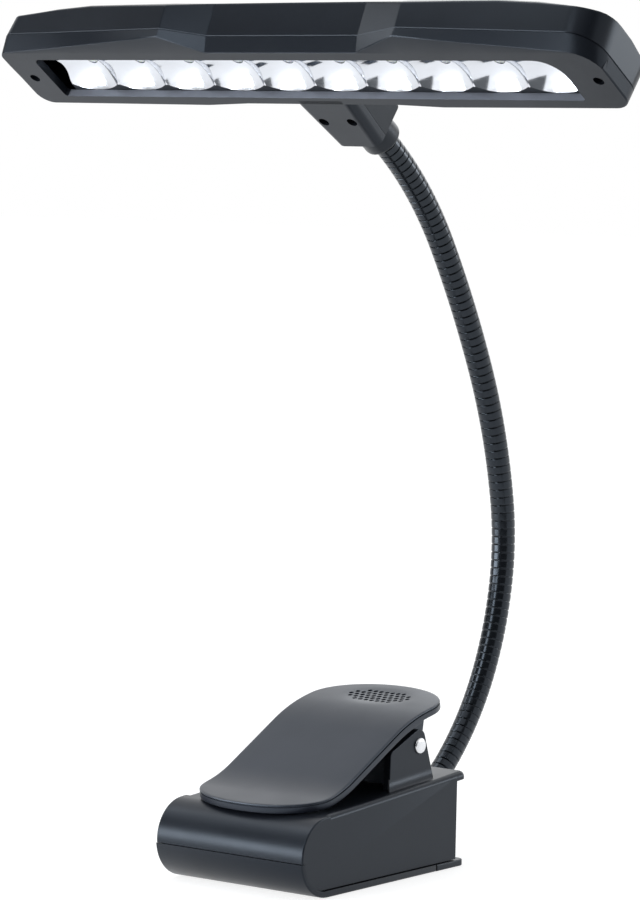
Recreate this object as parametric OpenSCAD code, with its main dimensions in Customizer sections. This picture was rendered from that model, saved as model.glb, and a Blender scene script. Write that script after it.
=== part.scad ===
// Clip-on music stand light: a battery base with a sprung clip, a ribbed gooseneck and a long head.
// The origin is the middle of the base's underside. +Z is up, the round nose faces -Y.

/* [Base] */
// Width of the base across the nose
base_w = 62; // [60:0.5:72]
// Length of the base from the nose to the rear lip
base_l = 84.6; // [82:0.2:100]
// Radius of the round nose
nose_r = 13.2; // [13:0.1:15]
// Height of the top at the rear lip
rear_h = 31.2; // [30:0.2:34]
// Wall of the base mouldings
base_wall = 2; // [1.6:0.1:2.2]
// Thickness of the bottom plate
floor_t = 2.2; // [1.8:0.1:2.6]
// Reach of the top and bottom lips past the rear wall
rear_lip = 3.9; // [2:0.1:5]
// Thickness of the rear lip of the top
lip_t = 2.4; // [1.8:0.1:3]
// Depth of the recessed side panels
panel_recess = 0.8; // [0.4:0.1:1]
// How far the battery door stands proud of the nose above it
door_proud = 0.4; // [0.2:0.1:0.6]
// Length of the fixed rear floor
rear_floor_l = 15; // [13:0.5:17]
// Corner radius of the rear floor
floor_corner_r = 3; // [1:0.5:5]
// Gap between the door and the parts that it slides past
door_gap = 0.4; // [0.3:0.05:0.6]

/* [Batteries] */
// Diameter of one cell
cell_d = 14.5; // [13.5:0.1:14.5]
// Length of a pressed contact spring
spring_l = 2.7; // [2:0.1:4]
// Gap between neighbouring cells
cell_gap = 0.7; // [0.5:0.1:1]
// Wall of the battery tray
tray_wall = 1.1; // [0.8:0.1:1.2]
// Thickness of a contact plate
contact_t = 0.4; // [0.3:0.1:0.6]

/* [Switch] */
// Travel of the slide switch
switch_travel = 8; // [4:0.5:9]
// Length of the switch knob
knob_l = 7; // [5:0.5:8]
// Height of the switch knob
knob_h = 5; // [4:0.5:6]
// How far the knob stands out of the side panel
knob_out = 1.1; // [0.8:0.1:1.6]

/* [Clip] */
// Width of the lever
lever_w = 52.4; // [48:0.2:53]
// Thickness of the lever at its rim
lever_t = 2.6; // [2.4:0.1:2.8]
// Thickness of the lever's skin inside the rim
lever_skin = 1.8; // [1.4:0.1:2]
// Width of the lever's rim
lever_rim = 2.2; // [1.6:0.1:2.6]
// Length of the rounded front end of the lever
lever_front_l = 16; // [10:0.5:20]
// Length of the rounded rear end of the lever
lever_round_l = 16.5; // [10:0.5:20]
// Height of the hinge pin
pin_z = 41.8; // [41:0.1:43]
// Distance of the hinge pin from the middle of the base
pin_y = 24; // [22:0.2:26]
// Diameter of the hinge pin
pin_d = 3; // [2.4:0.1:3.4]
// Diameter of the rivet heads
pin_head_d = 5.3; // [4.5:0.1:6]
// Thickness of the rivet heads
pin_head_t = 1; // [0.6:0.1:1.4]
// Thickness of a hinge ear
ear_t = 2.6; // [2:0.1:2.8]
// Thickness of a lever lug
lug_t = 2.6; // [2:0.1:3]
// Radius of a lever lug round the pin
lug_r = 4.4; // [3.8:0.1:4.6]
// Radius of the flare where an ear meets the top
flare_r = 3.6; // [2:0.1:4]
// Gap between an ear and the lever lug beside it
lug_gap = 0.4; // [0.3:0.05:0.6]
// How far the jaw pad stands out below the lever's rim
pad_proud = 0.4; // [0.2:0.1:0.5]

/* [Torsion spring] */
// Wire diameter
wire_d = 1.4; // [1:0.1:1.4]
// Mean radius of the coils
coil_r = 2.9; // [2.8:0.1:3.2]
// Number of full turns
coil_turns = 7; // [4:1:9]
// Pitch of the turns
coil_pitch = 2.1; // [2:0.1:2.4]

/* [Gooseneck] */
// Outer diameter of the ribs
neck_d = 7.5; // [7:0.1:8]
// Depth of the grooves between ribs
groove = 0.45; // [0.3:0.05:0.6]
// Pitch of the ribs
rib_pitch = 2.7; // [2.2:0.05:3.2]
// Bore of the gooseneck
bore_d = 4.2; // [3.8:0.1:4.4]
// Height at which the gooseneck leaves the rear wall
neck_z = 15.6; // [14:0.1:16]
// Length of the bend behind the base
root_l = 32.3; // [28:0.1:40]
// Length of each of the five flexing lengths above it
flex_l = 48; // [44:0.1:54]
// Length held in the collar and the neck block
tail_l = 14; // [12:0.5:16]
// Diameter of the lamp lead
lead_d = 2.4; // [2:0.1:2.6]

/* [Head] */
// Length of the head
head_l = 247.8; // [240:0.2:270]
// Width of the underside
head_w = 28.8; // [28:0.1:34]
// Height of the parting line above the underside
split_w = 4.8; // [4:0.1:6]
// Height of the cover above the underside
cover_h = 19.4; // [18:0.1:22]
// Wall of the head mouldings
head_wall = 2; // [1.6:0.1:2.4]
// Thickness of the bezel plate round the window
bezel_t = 2.7; // [2.4:0.1:3.2]
// Bulge of the front wall at the ends of the head
bulge_end = 4; // [3:0.1:5]
// Bulge of the front wall where the wings are widest
bulge_wing = 6.6; // [5:0.1:7]
// Bulge of the front wall in the middle
bulge_mid = 2.5; // [2:0.1:4]
// Half length of the recessed middle
mid_half = 31.5; // [25:0.5:40]
// Distance of the widest point of a wing from the middle
wing_x = 49.3; // [45:0.1:60]
// Rise of the wing's lower edge above the underside
wing_rise = 1.6; // [1:0.1:2.4]
// Width of the bezel beside each end of the window
window_end = 13.9; // [12:0.1:16]
// Width of the window
window_w = 20.5; // [19:0.1:20.6]
// Number of lamps in the row
lamp_count = 10; // [6:1:10]
// Length of the window that the row of lamps leaves over
lamp_room = 4.6; // [4:0.1:8]
// Radius of a reflector's rim
cup_r = 10.2; // [9:0.1:10.3]
// Depth of a reflector
cup_depth = 6; // [4:0.1:7]
// Diameter of one LED
led_d = 5; // [3:0.5:5]
// Width of the neck block at the head
block_w = 23.6; // [22:0.2:26]
// Width of the neck block at its end
block_end_w = 18; // [17:0.2:20]
// Length of the neck block
block_l = 22.2; // [20:0.2:24]
// Height of the gooseneck's axis above the underside
neck_w = 9.3; // [9:0.1:10]
// Diameter of the collar round the gooseneck
collar_d = 12.6; // [12:0.1:13]
// Length of the collar that shows
collar_out = 9; // [6:0.5:10]
// Length of the collar in the block
collar_in = 5; // [4:0.5:6]
// Diameter of a screw hole in the underside
screw_hole_d = 3.7; // [3.4:0.1:4]
// Diameter of a screw's thread
screw_d = 2; // [1.6:0.1:2.2]

/* [Hidden] */
$fn = 48;
fit = 0.1;
run_gap = 0.3;
pin_run = 0.06;
y_front = -base_l/2;
y_rear = base_l/2;
y_nose = y_front + nose_r;
y_wall = y_rear - rear_lip;
lip_over = 1.2;
y_lip = y_rear + lip_over;
y_split = y_rear - rear_floor_l;
top_r = nose_r - door_proud;
slope = (rear_h - nose_r - top_r)/(y_rear - y_nose);
function top_z(y) = nose_r + top_r + slope*(y - y_nose);
panel_x = base_w/2 - panel_recess;
panel_in = panel_x - base_wall;
housing_low = floor_t + run_gap;

// Batteries, from the nose to the rear
cell_lift = 0.6;
cell_z = floor_t + cell_lift + cell_d/2;
cell_step = cell_d + cell_gap;
cell_first = y_nose + cell_lift;
tray_low = floor_t + cell_lift;
tray_top = cell_z + cell_d/2 + run_gap;
tray_half = panel_in - fit;
tray_rear = cell_first + 2*cell_step + cell_d/2 + cell_gap + tray_wall;
contact_x = tray_half - tray_wall;
cell_l = 2*(contact_x - contact_t) - spring_l;
nub_l = 1.2;
nub_d = 5.5;
contact_w = 9;

// Neck socket
socket_d = 11.5;
socket_flange_d = 16;
socket_flange_t = 2;
socket_lead = 12;
socket_stop = 2;

// Switch and board in the rear of the base
board_clear = 1.6;
board_y0 = tray_rear + board_clear;
board_l = y_rear - socket_lead - socket_stop - board_clear - board_y0;
board_half = 18;
board_t = 1.2;
board_z = neck_z + lead_d/2 + run_gap;
board_post_x = 12;
board_post_d = 5;
knob_y = (tray_rear + y_wall - base_wall - switch_travel)/2;
knob_z = 10;
stem_l = 3;
stem_h = 1.8;
switch_deep = 6;
switch_h = 6;
switch_rim = 2.5;

// Rear floor and its screws
post_x = 16;
post_d = 6;
post_gap = 0.5;
post_y = y_wall - base_wall - post_gap - post_d/2;
floor_screw_l = 12;
screw_head_d = 3.4;
screw_head_t = 1.1;
screw_sink = 0.3;

// Clip
ear_x = lever_w/2 + 0.2;
ear_in = ear_x - ear_t;
lug_x = ear_in - lug_gap;
ear_ahead = 16.2;
ear_behind = 7;
ear_front = pin_y - ear_ahead;
ear_rear = pin_y + ear_behind;
ear_point_z = pin_z - 0.6;
ear_top_r = 3.4;
ear_top_z = pin_z + ear_top_r/2;
lip_back = 5.5;
lip_rise = 2.4;
lever_start = [y_front + lip_back, nose_r + top_r + lip_rise];
lever_angle = 9.9;
lip_l = 11;
dip_l = 16;
slope_l = 25.4;
shoulder_l = 17.6;
crown_l = 19.6;
lever_runs = [[lip_l, -2.6], [dip_l, 20.4], [slope_l, 0], [shoulder_l, -16.2], [crown_l, -3]];
lever_l = total(lever_runs);
lever_step = 2.5;
front_power = 2.4;
pad_from = 4.5;
pad_to = 17;
web_ahead = 8;
web_t = 2;
web_low = pin_z - 7.6;
stop_behind = 4.6;
stop_t = 2;
stop_h = 3.7;

// Gooseneck: runs of [length, bend] from the socket to the head
neck_r = neck_d/2;
bore_r = bore_d/2;
root_bend = 45.6;
flex_bends = [23, 29.5, 14.4, 7.9, 22.6];
neck_runs = concat([[socket_lead, 0], [root_l, root_bend]], [for (b = flex_bends) [flex_l, b]],
                   [[tail_l, 0]]);
neck_start = [y_rear - socket_lead, neck_z];
neck_l = total(neck_runs);
ball_r = neck_r - 0.65;
cup_gap = 0.6;
pivot_s = [for (k = [0:4]) socket_lead + root_l + k*flex_l];
rim_angle = 14;
neck_sides = 8;
bore_step = 12;
lead_step = 6;
lead_back = 13;

// Head frame: x along the head, y from the front edge to the back, z up from the underside
neck_end = neck_at(neck_l - tail_l);
head_tilt = 180 - neck_end[2];
block_end_v = head_w + block_l;
collar_v = block_end_v + collar_out;
half = head_l/2;
mid_v = head_w/2;
near_r = 10.5;
near_left_r = 4;
far_r = 6;
window_l = head_l - 2*window_end;
lamp_pitch = (window_l - lamp_room)/lamp_count;
window_corner_r = 9;
window_small_r = 1.5;
head_screw_in = 6;
head_screw_x = half - head_screw_in;
head_screw_l = 10;
head_boss_d = 5;
bezel_room = 2*head_screw_x + head_boss_d + 2*run_gap;
neck_screw_x = 5.9;
neck_screw_back = 8.8;
neck_screw_v = head_w + neck_screw_back;
neck_screw_l = 10;
tail_v = collar_v - tail_l;
roof_r = 22;
roof_rise = 7;
roof_side_z = cover_h - roof_rise;
crown_flat = 80;
crown_drop = 5.2;
strip_skin = 0.7;
strip_back = bezel_t + cup_depth + strip_skin;
board_gap = 0.1;
led_board_t = 1.2;
led_stand = led_d/2 + fit;
board_edge = 2.2;
lead_end = collar_v - tail_l - (head_w - board_edge);

// A route is a list of runs of [length, bend]; a place on it is [along, up, angle]
function total(runs, i = 0) = i == len(runs) ? 0 : runs[i][0] + total(runs, i + 1);
function run_at(p, run, s) =
    let (k = run[1]/run[0], a = p[2] + k*s)
    run[1] == 0 ? [p[0] + s*cos(p[2]), p[1] + s*sin(p[2]), p[2]]
    : let (r = 180/(PI*k)) [p[0] + r*(sin(a) - sin(p[2])), p[1] - r*(cos(a) - cos(p[2])), a];
function route_at(p, runs, s, i = 0) =
    s <= runs[i][0] || i == len(runs) - 1 ? run_at(p, runs[i], s)
    : route_at(run_at(p, runs[i], runs[i][0]), runs, s - runs[i][0], i + 1);
function neck_at(s) = route_at([neck_start[0], neck_start[1], 0], neck_runs, s);
function lever_at(s) = route_at([lever_start[0], lever_start[1], lever_angle], lever_runs, s);

// Point below the lever's top by a depth square to it
function lever_point(s, depth) =
    let (p = lever_at(s)) [p[0] + depth*sin(p[2]), p[1] - depth*cos(p[2])];
function lever_z(y, s = 0) = lever_at(s)[0] >= y || s >= lever_l ? lever_at(s)[1] : lever_z(y, s + 0.5);
function arc(c, r, from, to, n = 10) = [for (i = [0:n]) let (a = from + (to - from)*i/n)
                                        [c[0] + r*cos(a), c[1] + r*sin(a)]];

// A flat outline in Y and Z, drawn out along X
module across(w) { rotate([90, 0, 90]) linear_extrude(w, center = true) children(); }
// The same in Y and Z at both sides of the middle, from x0 outwards
module both_sides(x0, t) { for (s = [-1, 1]) translate([s*(x0 + t/2), 0, 0]) across(t) children(); }
module rod_x(d, l) { rotate([0, 90, 0]) cylinder(d = d, h = l, center = true); }
module rod_y(d, l) { rotate([-90, 0, 0]) cylinder(d = d, h = l); }

// Closed solid from rings of points, whose last ring joins the first
module ring_solid(rings) {
    n = len(rings);
    m = len(rings[0]);
    points = [for (r = rings) for (p = r) p];
    faces = [for (i = [0:n - 1]) for (j = [0:m - 1])
             let (a = i*m + j, b = i*m + (j + 1) % m, c = ((i + 1) % n)*m + (j + 1) % m,
                  d = ((i + 1) % n)*m + j) each [[a, b, c], [a, c, d]]];
    polyhedron(points, faces);
}
// Solid rod from rings of points, closed by a fan at each end
module ring_rod(rings) {
    n = len(rings);
    m = len(rings[0]);
    points = [for (r = rings) for (p = r) p];
    sides = [for (i = [0:n - 2]) for (j = [0:m - 1])
             let (a = i*m + j, b = i*m + (j + 1) % m) each [[a, b, b + m], [a, b + m, a + m]]];
    ends = [for (j = [1:m - 2]) each [[0, j + 1, j], [(n - 1)*m, (n - 1)*m + j, (n - 1)*m + j + 1]]];
    polyhedron(points, concat(sides, ends));
}

// Base outline from the side, drawn in by an inset
module base_outline(inset) {
    translate([y_nose, nose_r]) circle(r = top_r - inset);
    polygon([[y_nose, floor_t], [y_nose, nose_r + top_r - inset],
             [y_wall - inset, top_z(y_wall) - inset], [y_wall - inset, floor_t]]);
}
// What lies above the seam of the nose and above the bottom plate
module above_seam() {
    translate([y_front, nose_r]) square([nose_r, nose_r + 1]);
    translate([y_nose, housing_low]) square([base_l, rear_h]);
}
module ear_outline() {
    difference() {
        union() {
            polygon([[ear_front, top_z(ear_front) - base_wall/2], [ear_front + 0.9, ear_point_z],
                     [pin_y - 1.6, ear_top_z + ear_top_r - 0.2], [pin_y + ear_top_r - 0.6, ear_top_z + 1],
                     [ear_rear, top_z(ear_rear) - base_wall/2]]);
            translate([pin_y - 0.4, ear_top_z]) circle(r = ear_top_r);
        }
        translate([pin_y, pin_z]) circle(d = pin_d + 2*pin_run);
    }
}
// Concave flare along the foot of an ear
module ear_flare(s) {
    translate([s*ear_x, ear_front, top_z(ear_front)]) rotate([atan(slope), 0, 0])
        rotate([90, 0, 180]) linear_extrude(ear_rear - ear_front) difference() {
            translate([s > 0 ? -flare_r : 0, -0.5]) square([flare_r, flare_r + 0.5]);
            translate([-s*flare_r, flare_r]) circle(r = flare_r);
        }
}
module base_housing() {
    color("#33373d") difference() {
        union() {
            across(base_w) intersection() {
                difference() {
                    base_outline(0);
                    base_outline(base_wall);
                    translate([y_nose, floor_t - 1]) square([y_wall - y_nose - base_wall, nose_r]);
                }
                above_seam();
            }
            across(base_w) polygon([[y_wall - 1, top_z(y_wall - 1)], [y_lip, top_z(y_lip)],
                                    [y_lip, top_z(y_lip) - lip_t], [y_wall - 1, top_z(y_wall - 1) - lip_t]]);
            both_sides(panel_in, base_wall) union() {
                intersection() {
                    base_outline(base_wall/2);
                    above_seam();
                }
                difference() {
                    translate([y_nose, nose_r]) circle(r = nose_r - base_wall - door_gap);
                    translate([y_front, 0]) square([base_l, housing_low]);
                }
            }
            both_sides(ear_in, ear_t) ear_outline();
            translate([-ear_in - ear_t/2, pin_y + stop_behind, top_z(pin_y) - base_wall/2])
                cube([2*ear_in + ear_t, stop_t, stop_h + base_wall/2]);
            for (s = [-1, 1]) ear_flare(s);
            for (s = [-1, 1]) translate([s*post_x, post_y, floor_t])
                cylinder(d = post_d, h = top_z(post_y) - floor_t - base_wall/2);
            for (s = [-1, 1]) translate([s*board_post_x, board_y0 + board_l/2, board_z + board_t])
                cylinder(d = board_post_d, h = top_z(board_y0) - board_z - board_t - base_wall/2);
        }
        translate([0, y_wall - base_wall - 1, neck_z]) rod_y(socket_d + 2*fit, base_wall + 2);
        for (s = [-1, 1]) translate([s*post_x, post_y, floor_t - 1])
            cylinder(d = screw_d, h = floor_screw_l);
        switch_slot(panel_in - 1, base_wall + 2);
    }
}
module switch_slot(x0, t) {
    translate([-x0 - t, knob_y - stem_l/2 - run_gap, knob_z - stem_h/2 - run_gap])
        cube([t, stem_l + switch_travel + 2*run_gap, stem_h + 2*run_gap]);
}
module base_floor() {
    color("#2f3338") difference() {
        union() {
            translate([-base_w/2, y_split, 0]) cube([base_w, rear_floor_l - floor_corner_r, floor_t]);
            translate([-base_w/2 + floor_corner_r, y_split, 0])
                cube([base_w - 2*floor_corner_r, rear_floor_l, floor_t]);
            for (s = [-1, 1]) translate([s*(base_w/2 - floor_corner_r), y_rear - floor_corner_r, 0])
                cylinder(r = floor_corner_r, h = floor_t);
        }
        for (s = [-1, 1]) translate([s*post_x, post_y, 0]) {
            translate([0, 0, -1]) cylinder(d = screw_d + 2*fit, h = floor_t + 2);
            translate([0, 0, -1]) cylinder(d = screw_head_d + 2*fit, h = 1 + screw_sink + screw_head_t);
        }
    }
}
module screw(l) {
    cylinder(d = screw_head_d, h = screw_head_t);
    cylinder(d = screw_d - fit, h = l);
}
module floor_screws() {
    color("silver") for (s = [-1, 1]) translate([s*post_x, post_y, screw_sink]) screw(floor_screw_l - 2);
}
module battery_door() {
    color("#2f3338") union() {
        across(base_w) difference() {
            translate([y_nose, nose_r]) circle(r = nose_r);
            translate([y_nose, nose_r]) circle(r = nose_r - base_wall);
            translate([y_front - 1, nose_r - run_gap]) square([2*nose_r + 2, nose_r + 2]);
            translate([y_nose, -1]) square([nose_r + 1, nose_r + 1]);
        }
        translate([-base_w/2, y_nose - 1, 0]) cube([base_w, y_split - y_nose + 1 - fit, base_wall]);
    }
}
module battery_tray() {
    color("#26292e") union() {
        translate([-tray_half, y_nose - 7, tray_top])
            cube([2*tray_half, tray_rear - y_nose + 7, tray_wall]);
        translate([-tray_half, tray_rear - tray_wall, tray_low])
            cube([2*tray_half, tray_wall, tray_top - tray_low + tray_wall]);
        for (s = [-1, 1]) translate([s*(tray_half - tray_wall/2) - tray_wall/2, y_nose - 2.4, tray_low])
            cube([tray_wall, tray_rear - y_nose + 2.4, tray_top - tray_low + tray_wall]);
    }
}
// One cell; turn says which end its nub points to
module battery(i) {
    turn = i % 2 == 0 ? 1 : -1;
    color("#b98a3c") translate([turn*(contact_x - contact_t), cell_first + i*cell_step, cell_z])
        rotate([0, -90*turn, 0]) {
            cylinder(d = nub_d, h = nub_l);
            translate([0, 0, nub_l]) cylinder(d = cell_d, h = cell_l - nub_l);
        }
}
module battery_1() { battery(0); }
module battery_2() { battery(1); }
module battery_3() { battery(2); }
module contact_springs() {
    color("silver") for (i = [0:2]) let (turn = i % 2 == 0 ? -1 : 1)
        translate([turn*(contact_x - contact_t), cell_first + i*cell_step, cell_z])
            rotate([0, -90*turn, 0]) rotate_extrude()
                polygon([[3.4, 0], [4, 0], [3, spring_l], [2.4, spring_l]]);
}
module contact_plates() {
    color("silver") for (i = [0:2]) for (s = [-1, 1])
        translate([s*(contact_x - contact_t/2), cell_first + i*cell_step, cell_z])
            cube([contact_t, contact_w, contact_w], center = true);
}
module switch_body() {
    color("#1d1f22") difference() {
        translate([-panel_in + fit, knob_y - stem_l/2 - switch_rim, knob_z - switch_h/2])
            cube([switch_deep, stem_l + switch_travel + 2*switch_rim, switch_h]);
        switch_slot(panel_in - switch_deep/2, switch_deep/2 + 1);
    }
}
module switch_knob() {
    color("#17181a") union() {
        translate([-panel_x - knob_out - run_gap, knob_y - knob_l/2, knob_z - knob_h/2])
            cube([knob_out, knob_l, knob_h]);
        translate([-panel_x - knob_out, knob_y - stem_l/2, knob_z - stem_h/2])
            cube([panel_recess + base_wall + knob_out + 1, stem_l, stem_h]);
    }
}
module driver_board() {
    color("#1f5a3a") translate([-board_half, board_y0, board_z]) cube([2*board_half, board_l, board_t]);
}
module neck_socket() {
    color("#202327") translate([0, y_rear, neck_z]) mirror([0, 1, 0]) difference() {
        union() {
            rod_y(socket_d, socket_lead + socket_stop);
            translate([0, rear_lip + base_wall + fit, 0]) rod_y(socket_flange_d, socket_flange_t);
        }
        translate([0, -1, 0]) rod_y(neck_d + 4*fit, socket_lead + 1);
        rod_y(lead_d + 4*fit, socket_lead + socket_stop + 1);
    }
}
module hinge_pin() {
    color("#d9dadc") translate([0, pin_y, pin_z]) union() {
        rod_x(pin_d, 2*ear_x + pin_head_t);
        for (s = [-1, 1]) translate([s*(ear_x + fit + pin_head_t/2), 0, 0]) rod_x(pin_head_d, pin_head_t);
    }
}

// Torsion spring: one wire, from the leg on the base round the pin to the leg under the lever
foot_back = 11;
head_back = 13;
spring_foot = [pin_y + foot_back, top_z(pin_y + foot_back) + wire_d/2 + run_gap];
spring_head = [pin_y + head_back, lever_z(pin_y + head_back) - lever_skin - wire_d/2 - 2*run_gap];
function tangent_angle(p, side) =
    let (d = [p[0] - pin_y, p[1] - pin_z])
    atan2(d[1], d[0]) + side*acos(coil_r/norm(d));
foot_angle = tangent_angle(spring_foot, -1);
head_angle = tangent_angle(spring_head, 1);
spring_turn = 360*coil_turns + head_angle - foot_angle;
spring_x0 = -coil_pitch*spring_turn/720;
coil_rings = 8;
function coil_point(a) = [spring_x0 + coil_pitch*(a - foot_angle)/360, pin_y + coil_r*cos(a),
                          pin_z + coil_r*sin(a)];
coil_points = let (n = ceil(spring_turn*coil_rings/360))
    [for (i = [0:n]) coil_point(foot_angle + spring_turn*i/n)];
function wire_ring(p, a, along) =
    let (out = [0, cos(a), sin(a)], side = cross(along/norm(along), out))
    [for (j = [0:5]) p + wire_d/2*(cos(60*j)*out + sin(60*j)*side)];
module torsion_spring() {
    n = len(coil_points) - 1;
    first = [coil_points[0][0], spring_foot[0], spring_foot[1]];
    last = [coil_points[n][0], spring_head[0], spring_head[1]];
    coil = [for (i = [0:n]) let (a = foot_angle + spring_turn*i/n)
            wire_ring(coil_points[i], a, [coil_pitch/(2*PI*coil_r), -sin(a), cos(a)])];
    rings = concat([wire_ring(first, foot_angle, coil_points[0] - first)], coil,
                   [wire_ring(last, head_angle, last - coil_points[n])]);
    color("#9a9da1") ring_rod(rings);
    echo(spring_self_gap = min([for (i = [0:n]) for (j = [i + 5:1:n])
                                norm(coil_points[i] - coil_points[j]) - wire_d]));
}

// Lever outline from the side, between two depths below its top
module lever_band(d0, d1, from = 0, to = lever_l) {
    n = ceil((to - from)/lever_step);
    s = [for (i = [0:n]) from + (to - from)*i/n];
    polygon(concat([for (v = s) lever_point(v, d0)], [for (i = [n:-1:0]) lever_point(s[i], d1)]));
}
// Lever outline from above, drawn in by an inset
module lever_plan(inset) {
    w = lever_w/2 - inset;
    y0 = lever_start[0] + lever_front_l;
    y1 = lever_at(lever_l)[0] - lever_round_l;
    polygon(concat([for (i = [0:24]) let (a = 180 + 7.5*i)
                    [w*square_off(cos(a)), y0 + (lever_front_l - inset)*square_off(sin(a))]],
                   [for (i = [0:24]) [w*cos(7.5*i), y1 + (lever_round_l - inset)*sin(7.5*i)]]));
}
function square_off(c) = sign(c)*pow(abs(c), 2/front_power);
module lug_outline() {
    translate([pin_y, pin_z]) circle(r = lug_r);
    polygon([[pin_y - lug_r, pin_z], [pin_y + lug_r, pin_z],
             [pin_y + lug_r + 2, lever_z(pin_y + lug_r + 2) - lever_skin/2],
             [pin_y - lug_r - 4, lever_z(pin_y - lug_r - 4) - lever_skin/2]]);
}
// Cross web that closes the view under the lever, ahead of the pin
module lever_web() {
    y0 = pin_y - web_ahead - web_t/2;
    y1 = y0 + web_t;
    across(2*lug_x) polygon([[y0, web_low], [y1, web_low], [y1, lever_z(y1) - lever_skin/2],
                             [y0, lever_z(y0) - lever_skin/2]]);
}
module clip_lever() {
    color("#3a3e45") union() {
        difference() {
            union() {
                intersection() {
                    across(lever_w) lever_band(0, lever_t);
                    linear_extrude(2*rear_h) lever_plan(0);
                }
                both_sides(lug_x - lug_t, lug_t) lug_outline();
            }
            intersection() {
                across(2*(lug_x - lug_t)) lever_band(lever_skin, lever_t + 1);
                linear_extrude(2*rear_h) lever_plan(lever_rim);
            }
            translate([0, pin_y, pin_z]) rod_x(pin_d + 2*pin_run, base_w);
        }
        lever_web();
    }
}
module jaw_pad() {
    color("#151617") intersection() {
        across(2*(lug_x - lug_t) - 2) lever_band(lever_skin + fit, lever_t + pad_proud, pad_from, pad_to);
        linear_extrude(2*rear_h) lever_plan(lever_rim + run_gap);
    }
}

// Gooseneck ring at a place on the route
function neck_ring(s, r, sides = neck_sides) =
    let (p = neck_at(s))
    [for (j = [0:sides - 1]) let (a = 360*j/sides)
     [r*cos(a), p[0] - r*sin(a)*sin(p[2]), p[1] + r*sin(a)*cos(p[2])]];
// Rounded end of a length, and the hollow that the next length has for it, as [place, radius]
function ball_end(s) = let (a1 = acos(bore_r/ball_r))
    [for (i = [0:4]) let (a = -rim_angle + (a1 + rim_angle)*i/4) [s + ball_r*sin(a), ball_r*cos(a)]];
function cup_start(s) = let (r = ball_r + cup_gap, a1 = acos(bore_r/r))
    [for (i = [0:3]) let (a = a1 + (rim_angle - a1)*i/3) [s + r*sin(a), r*cos(a)]];
function ribs(from, to) = let (n = floor((to - from)/rib_pitch))
    [for (i = [0:n]) each [[from + i*rib_pitch, neck_r],
                           if (i < n) [from + (i + 0.5)*rib_pitch, neck_r - groove]]];
module gooseneck(i) {
    from = i == 0 ? 0 : pivot_s[i - 1];
    to = i == 5 ? neck_l : pivot_s[i];
    shoulder = (ball_r + cup_gap)*sin(rim_angle) + 0.1;
    bore_n = ceil((to - from)/bore_step);
    start = i == 0 ? [[from, bore_r]] : cup_start(from);
    end = i == 5 ? [[to, bore_r]] : ball_end(to);
    first = i == 0 ? from : from + shoulder;
    last = i == 5 ? to : to - shoulder - 0.2;
    bore_from = start[0][0];
    bore_to = end[len(end) - 1][0];
    body = concat(start, ribs(first, last), [[last, neck_r - (i == 5 ? 0 : groove)]], end,
                  [for (k = [1:bore_n - 1]) [bore_to + (bore_from - bore_to)*k/bore_n, bore_r]]);
    color("#1b1d20") ring_solid([for (p = body) neck_ring(p[0], p[1])]);
}
module gooseneck_1() { gooseneck(0); }
module gooseneck_2() { gooseneck(1); }
module gooseneck_3() { gooseneck(2); }
module gooseneck_4() { gooseneck(3); }
module gooseneck_5() { gooseneck(4); }
module gooseneck_6() { gooseneck(5); }
module lamp_lead() {
    n = ceil((neck_l + lead_back + lead_end)/lead_step);
    color("#8c1f1f") ring_rod([for (i = [0:n])
        neck_ring(-lead_back + (neck_l + lead_back + lead_end)*i/n, lead_d/2)]);
}

// Places a part of the head, drawn with its underside flat at z = 0 and its front edge at y = 0
module on_head() {
    translate([0, neck_end[0], neck_end[1]]) rotate([-head_tilt, 0, 0])
        translate([0, -collar_v, -neck_w]) children();
}
// Outline of the head at the parting line
module head_outline(inset = 0) {
    x = half - inset;
    v = head_w - inset;
    f = -bulge_end + inset;
    polygon(concat(arc([near_left_r - x, f + near_left_r], near_left_r, 180, 270),
                   [[-wing_x, inset - bulge_wing], [-mid_half, inset - bulge_mid],
                    [mid_half, inset - bulge_mid], [wing_x, inset - bulge_wing]],
                   arc([x - near_r, f + near_r], near_r, 270, 360),
                   arc([x - far_r, v - far_r], far_r, 0, 90),
                   arc([far_r - x, v - far_r], far_r, 90, 180)));
}
module block_outline() {
    polygon([[-block_w/2, head_w - 1], [-block_end_w/2, block_end_v], [block_end_w/2, block_end_v],
             [block_w/2, head_w - 1]]);
}
module window_outline() {
    x = window_l/2;
    v0 = mid_v - window_w/2;
    v1 = mid_v + window_w/2;
    s = window_small_r;
    r = window_corner_r;
    polygon(concat(arc([s - x, v0 + s], s, 180, 270, 4), arc([x - r, v0 + r], r, 270, 360),
                   arc([x - s, v1 - s], s, 0, 90, 4), arc([s - x, v1 - s], s, 90, 180, 4)));
}
// Space for the gooseneck's tail and its collar in the neck block
module neck_way() {
    translate([0, tail_v - 2*fit, neck_w]) rod_y(neck_d + 4*fit, tail_l);
    translate([0, block_end_v - collar_in - fit, neck_w]) rod_y(collar_d + 2*fit, collar_in + 2);
    translate([0, head_w - 3, neck_w]) rod_y(lead_d + 4*fit, block_l);
}
module at_screws(x, v) { for (s = [-1, 1]) translate([s*x, v, 0]) children(); }
module head_bezel() {
    color("#3c4047") on_head() difference() {
        union() {
            linear_extrude(split_w - fit) head_outline();
            linear_extrude(split_w - fit) block_outline();
        }
        rotate([-atan(wing_rise/bulge_wing), 0, 0]) translate([-half - 1, -2*bulge_wing, -2*split_w])
            cube([head_l + 2, 2*bulge_wing, 2*split_w]);
        translate([0, 0, -1]) linear_extrude(bezel_t + 2) window_outline();
        translate([-bezel_room/2, head_wall, bezel_t]) cube([bezel_room, head_w - 2*head_wall, split_w]);
        at_screws(head_screw_x, mid_v) translate([0, 0, -1]) cylinder(d = screw_hole_d, h = split_w + 1);
        at_screws(neck_screw_x, neck_screw_v) translate([0, 0, -1]) cylinder(d = screw_hole_d, h = split_w + 1);
        neck_way();
    }
}
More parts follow.
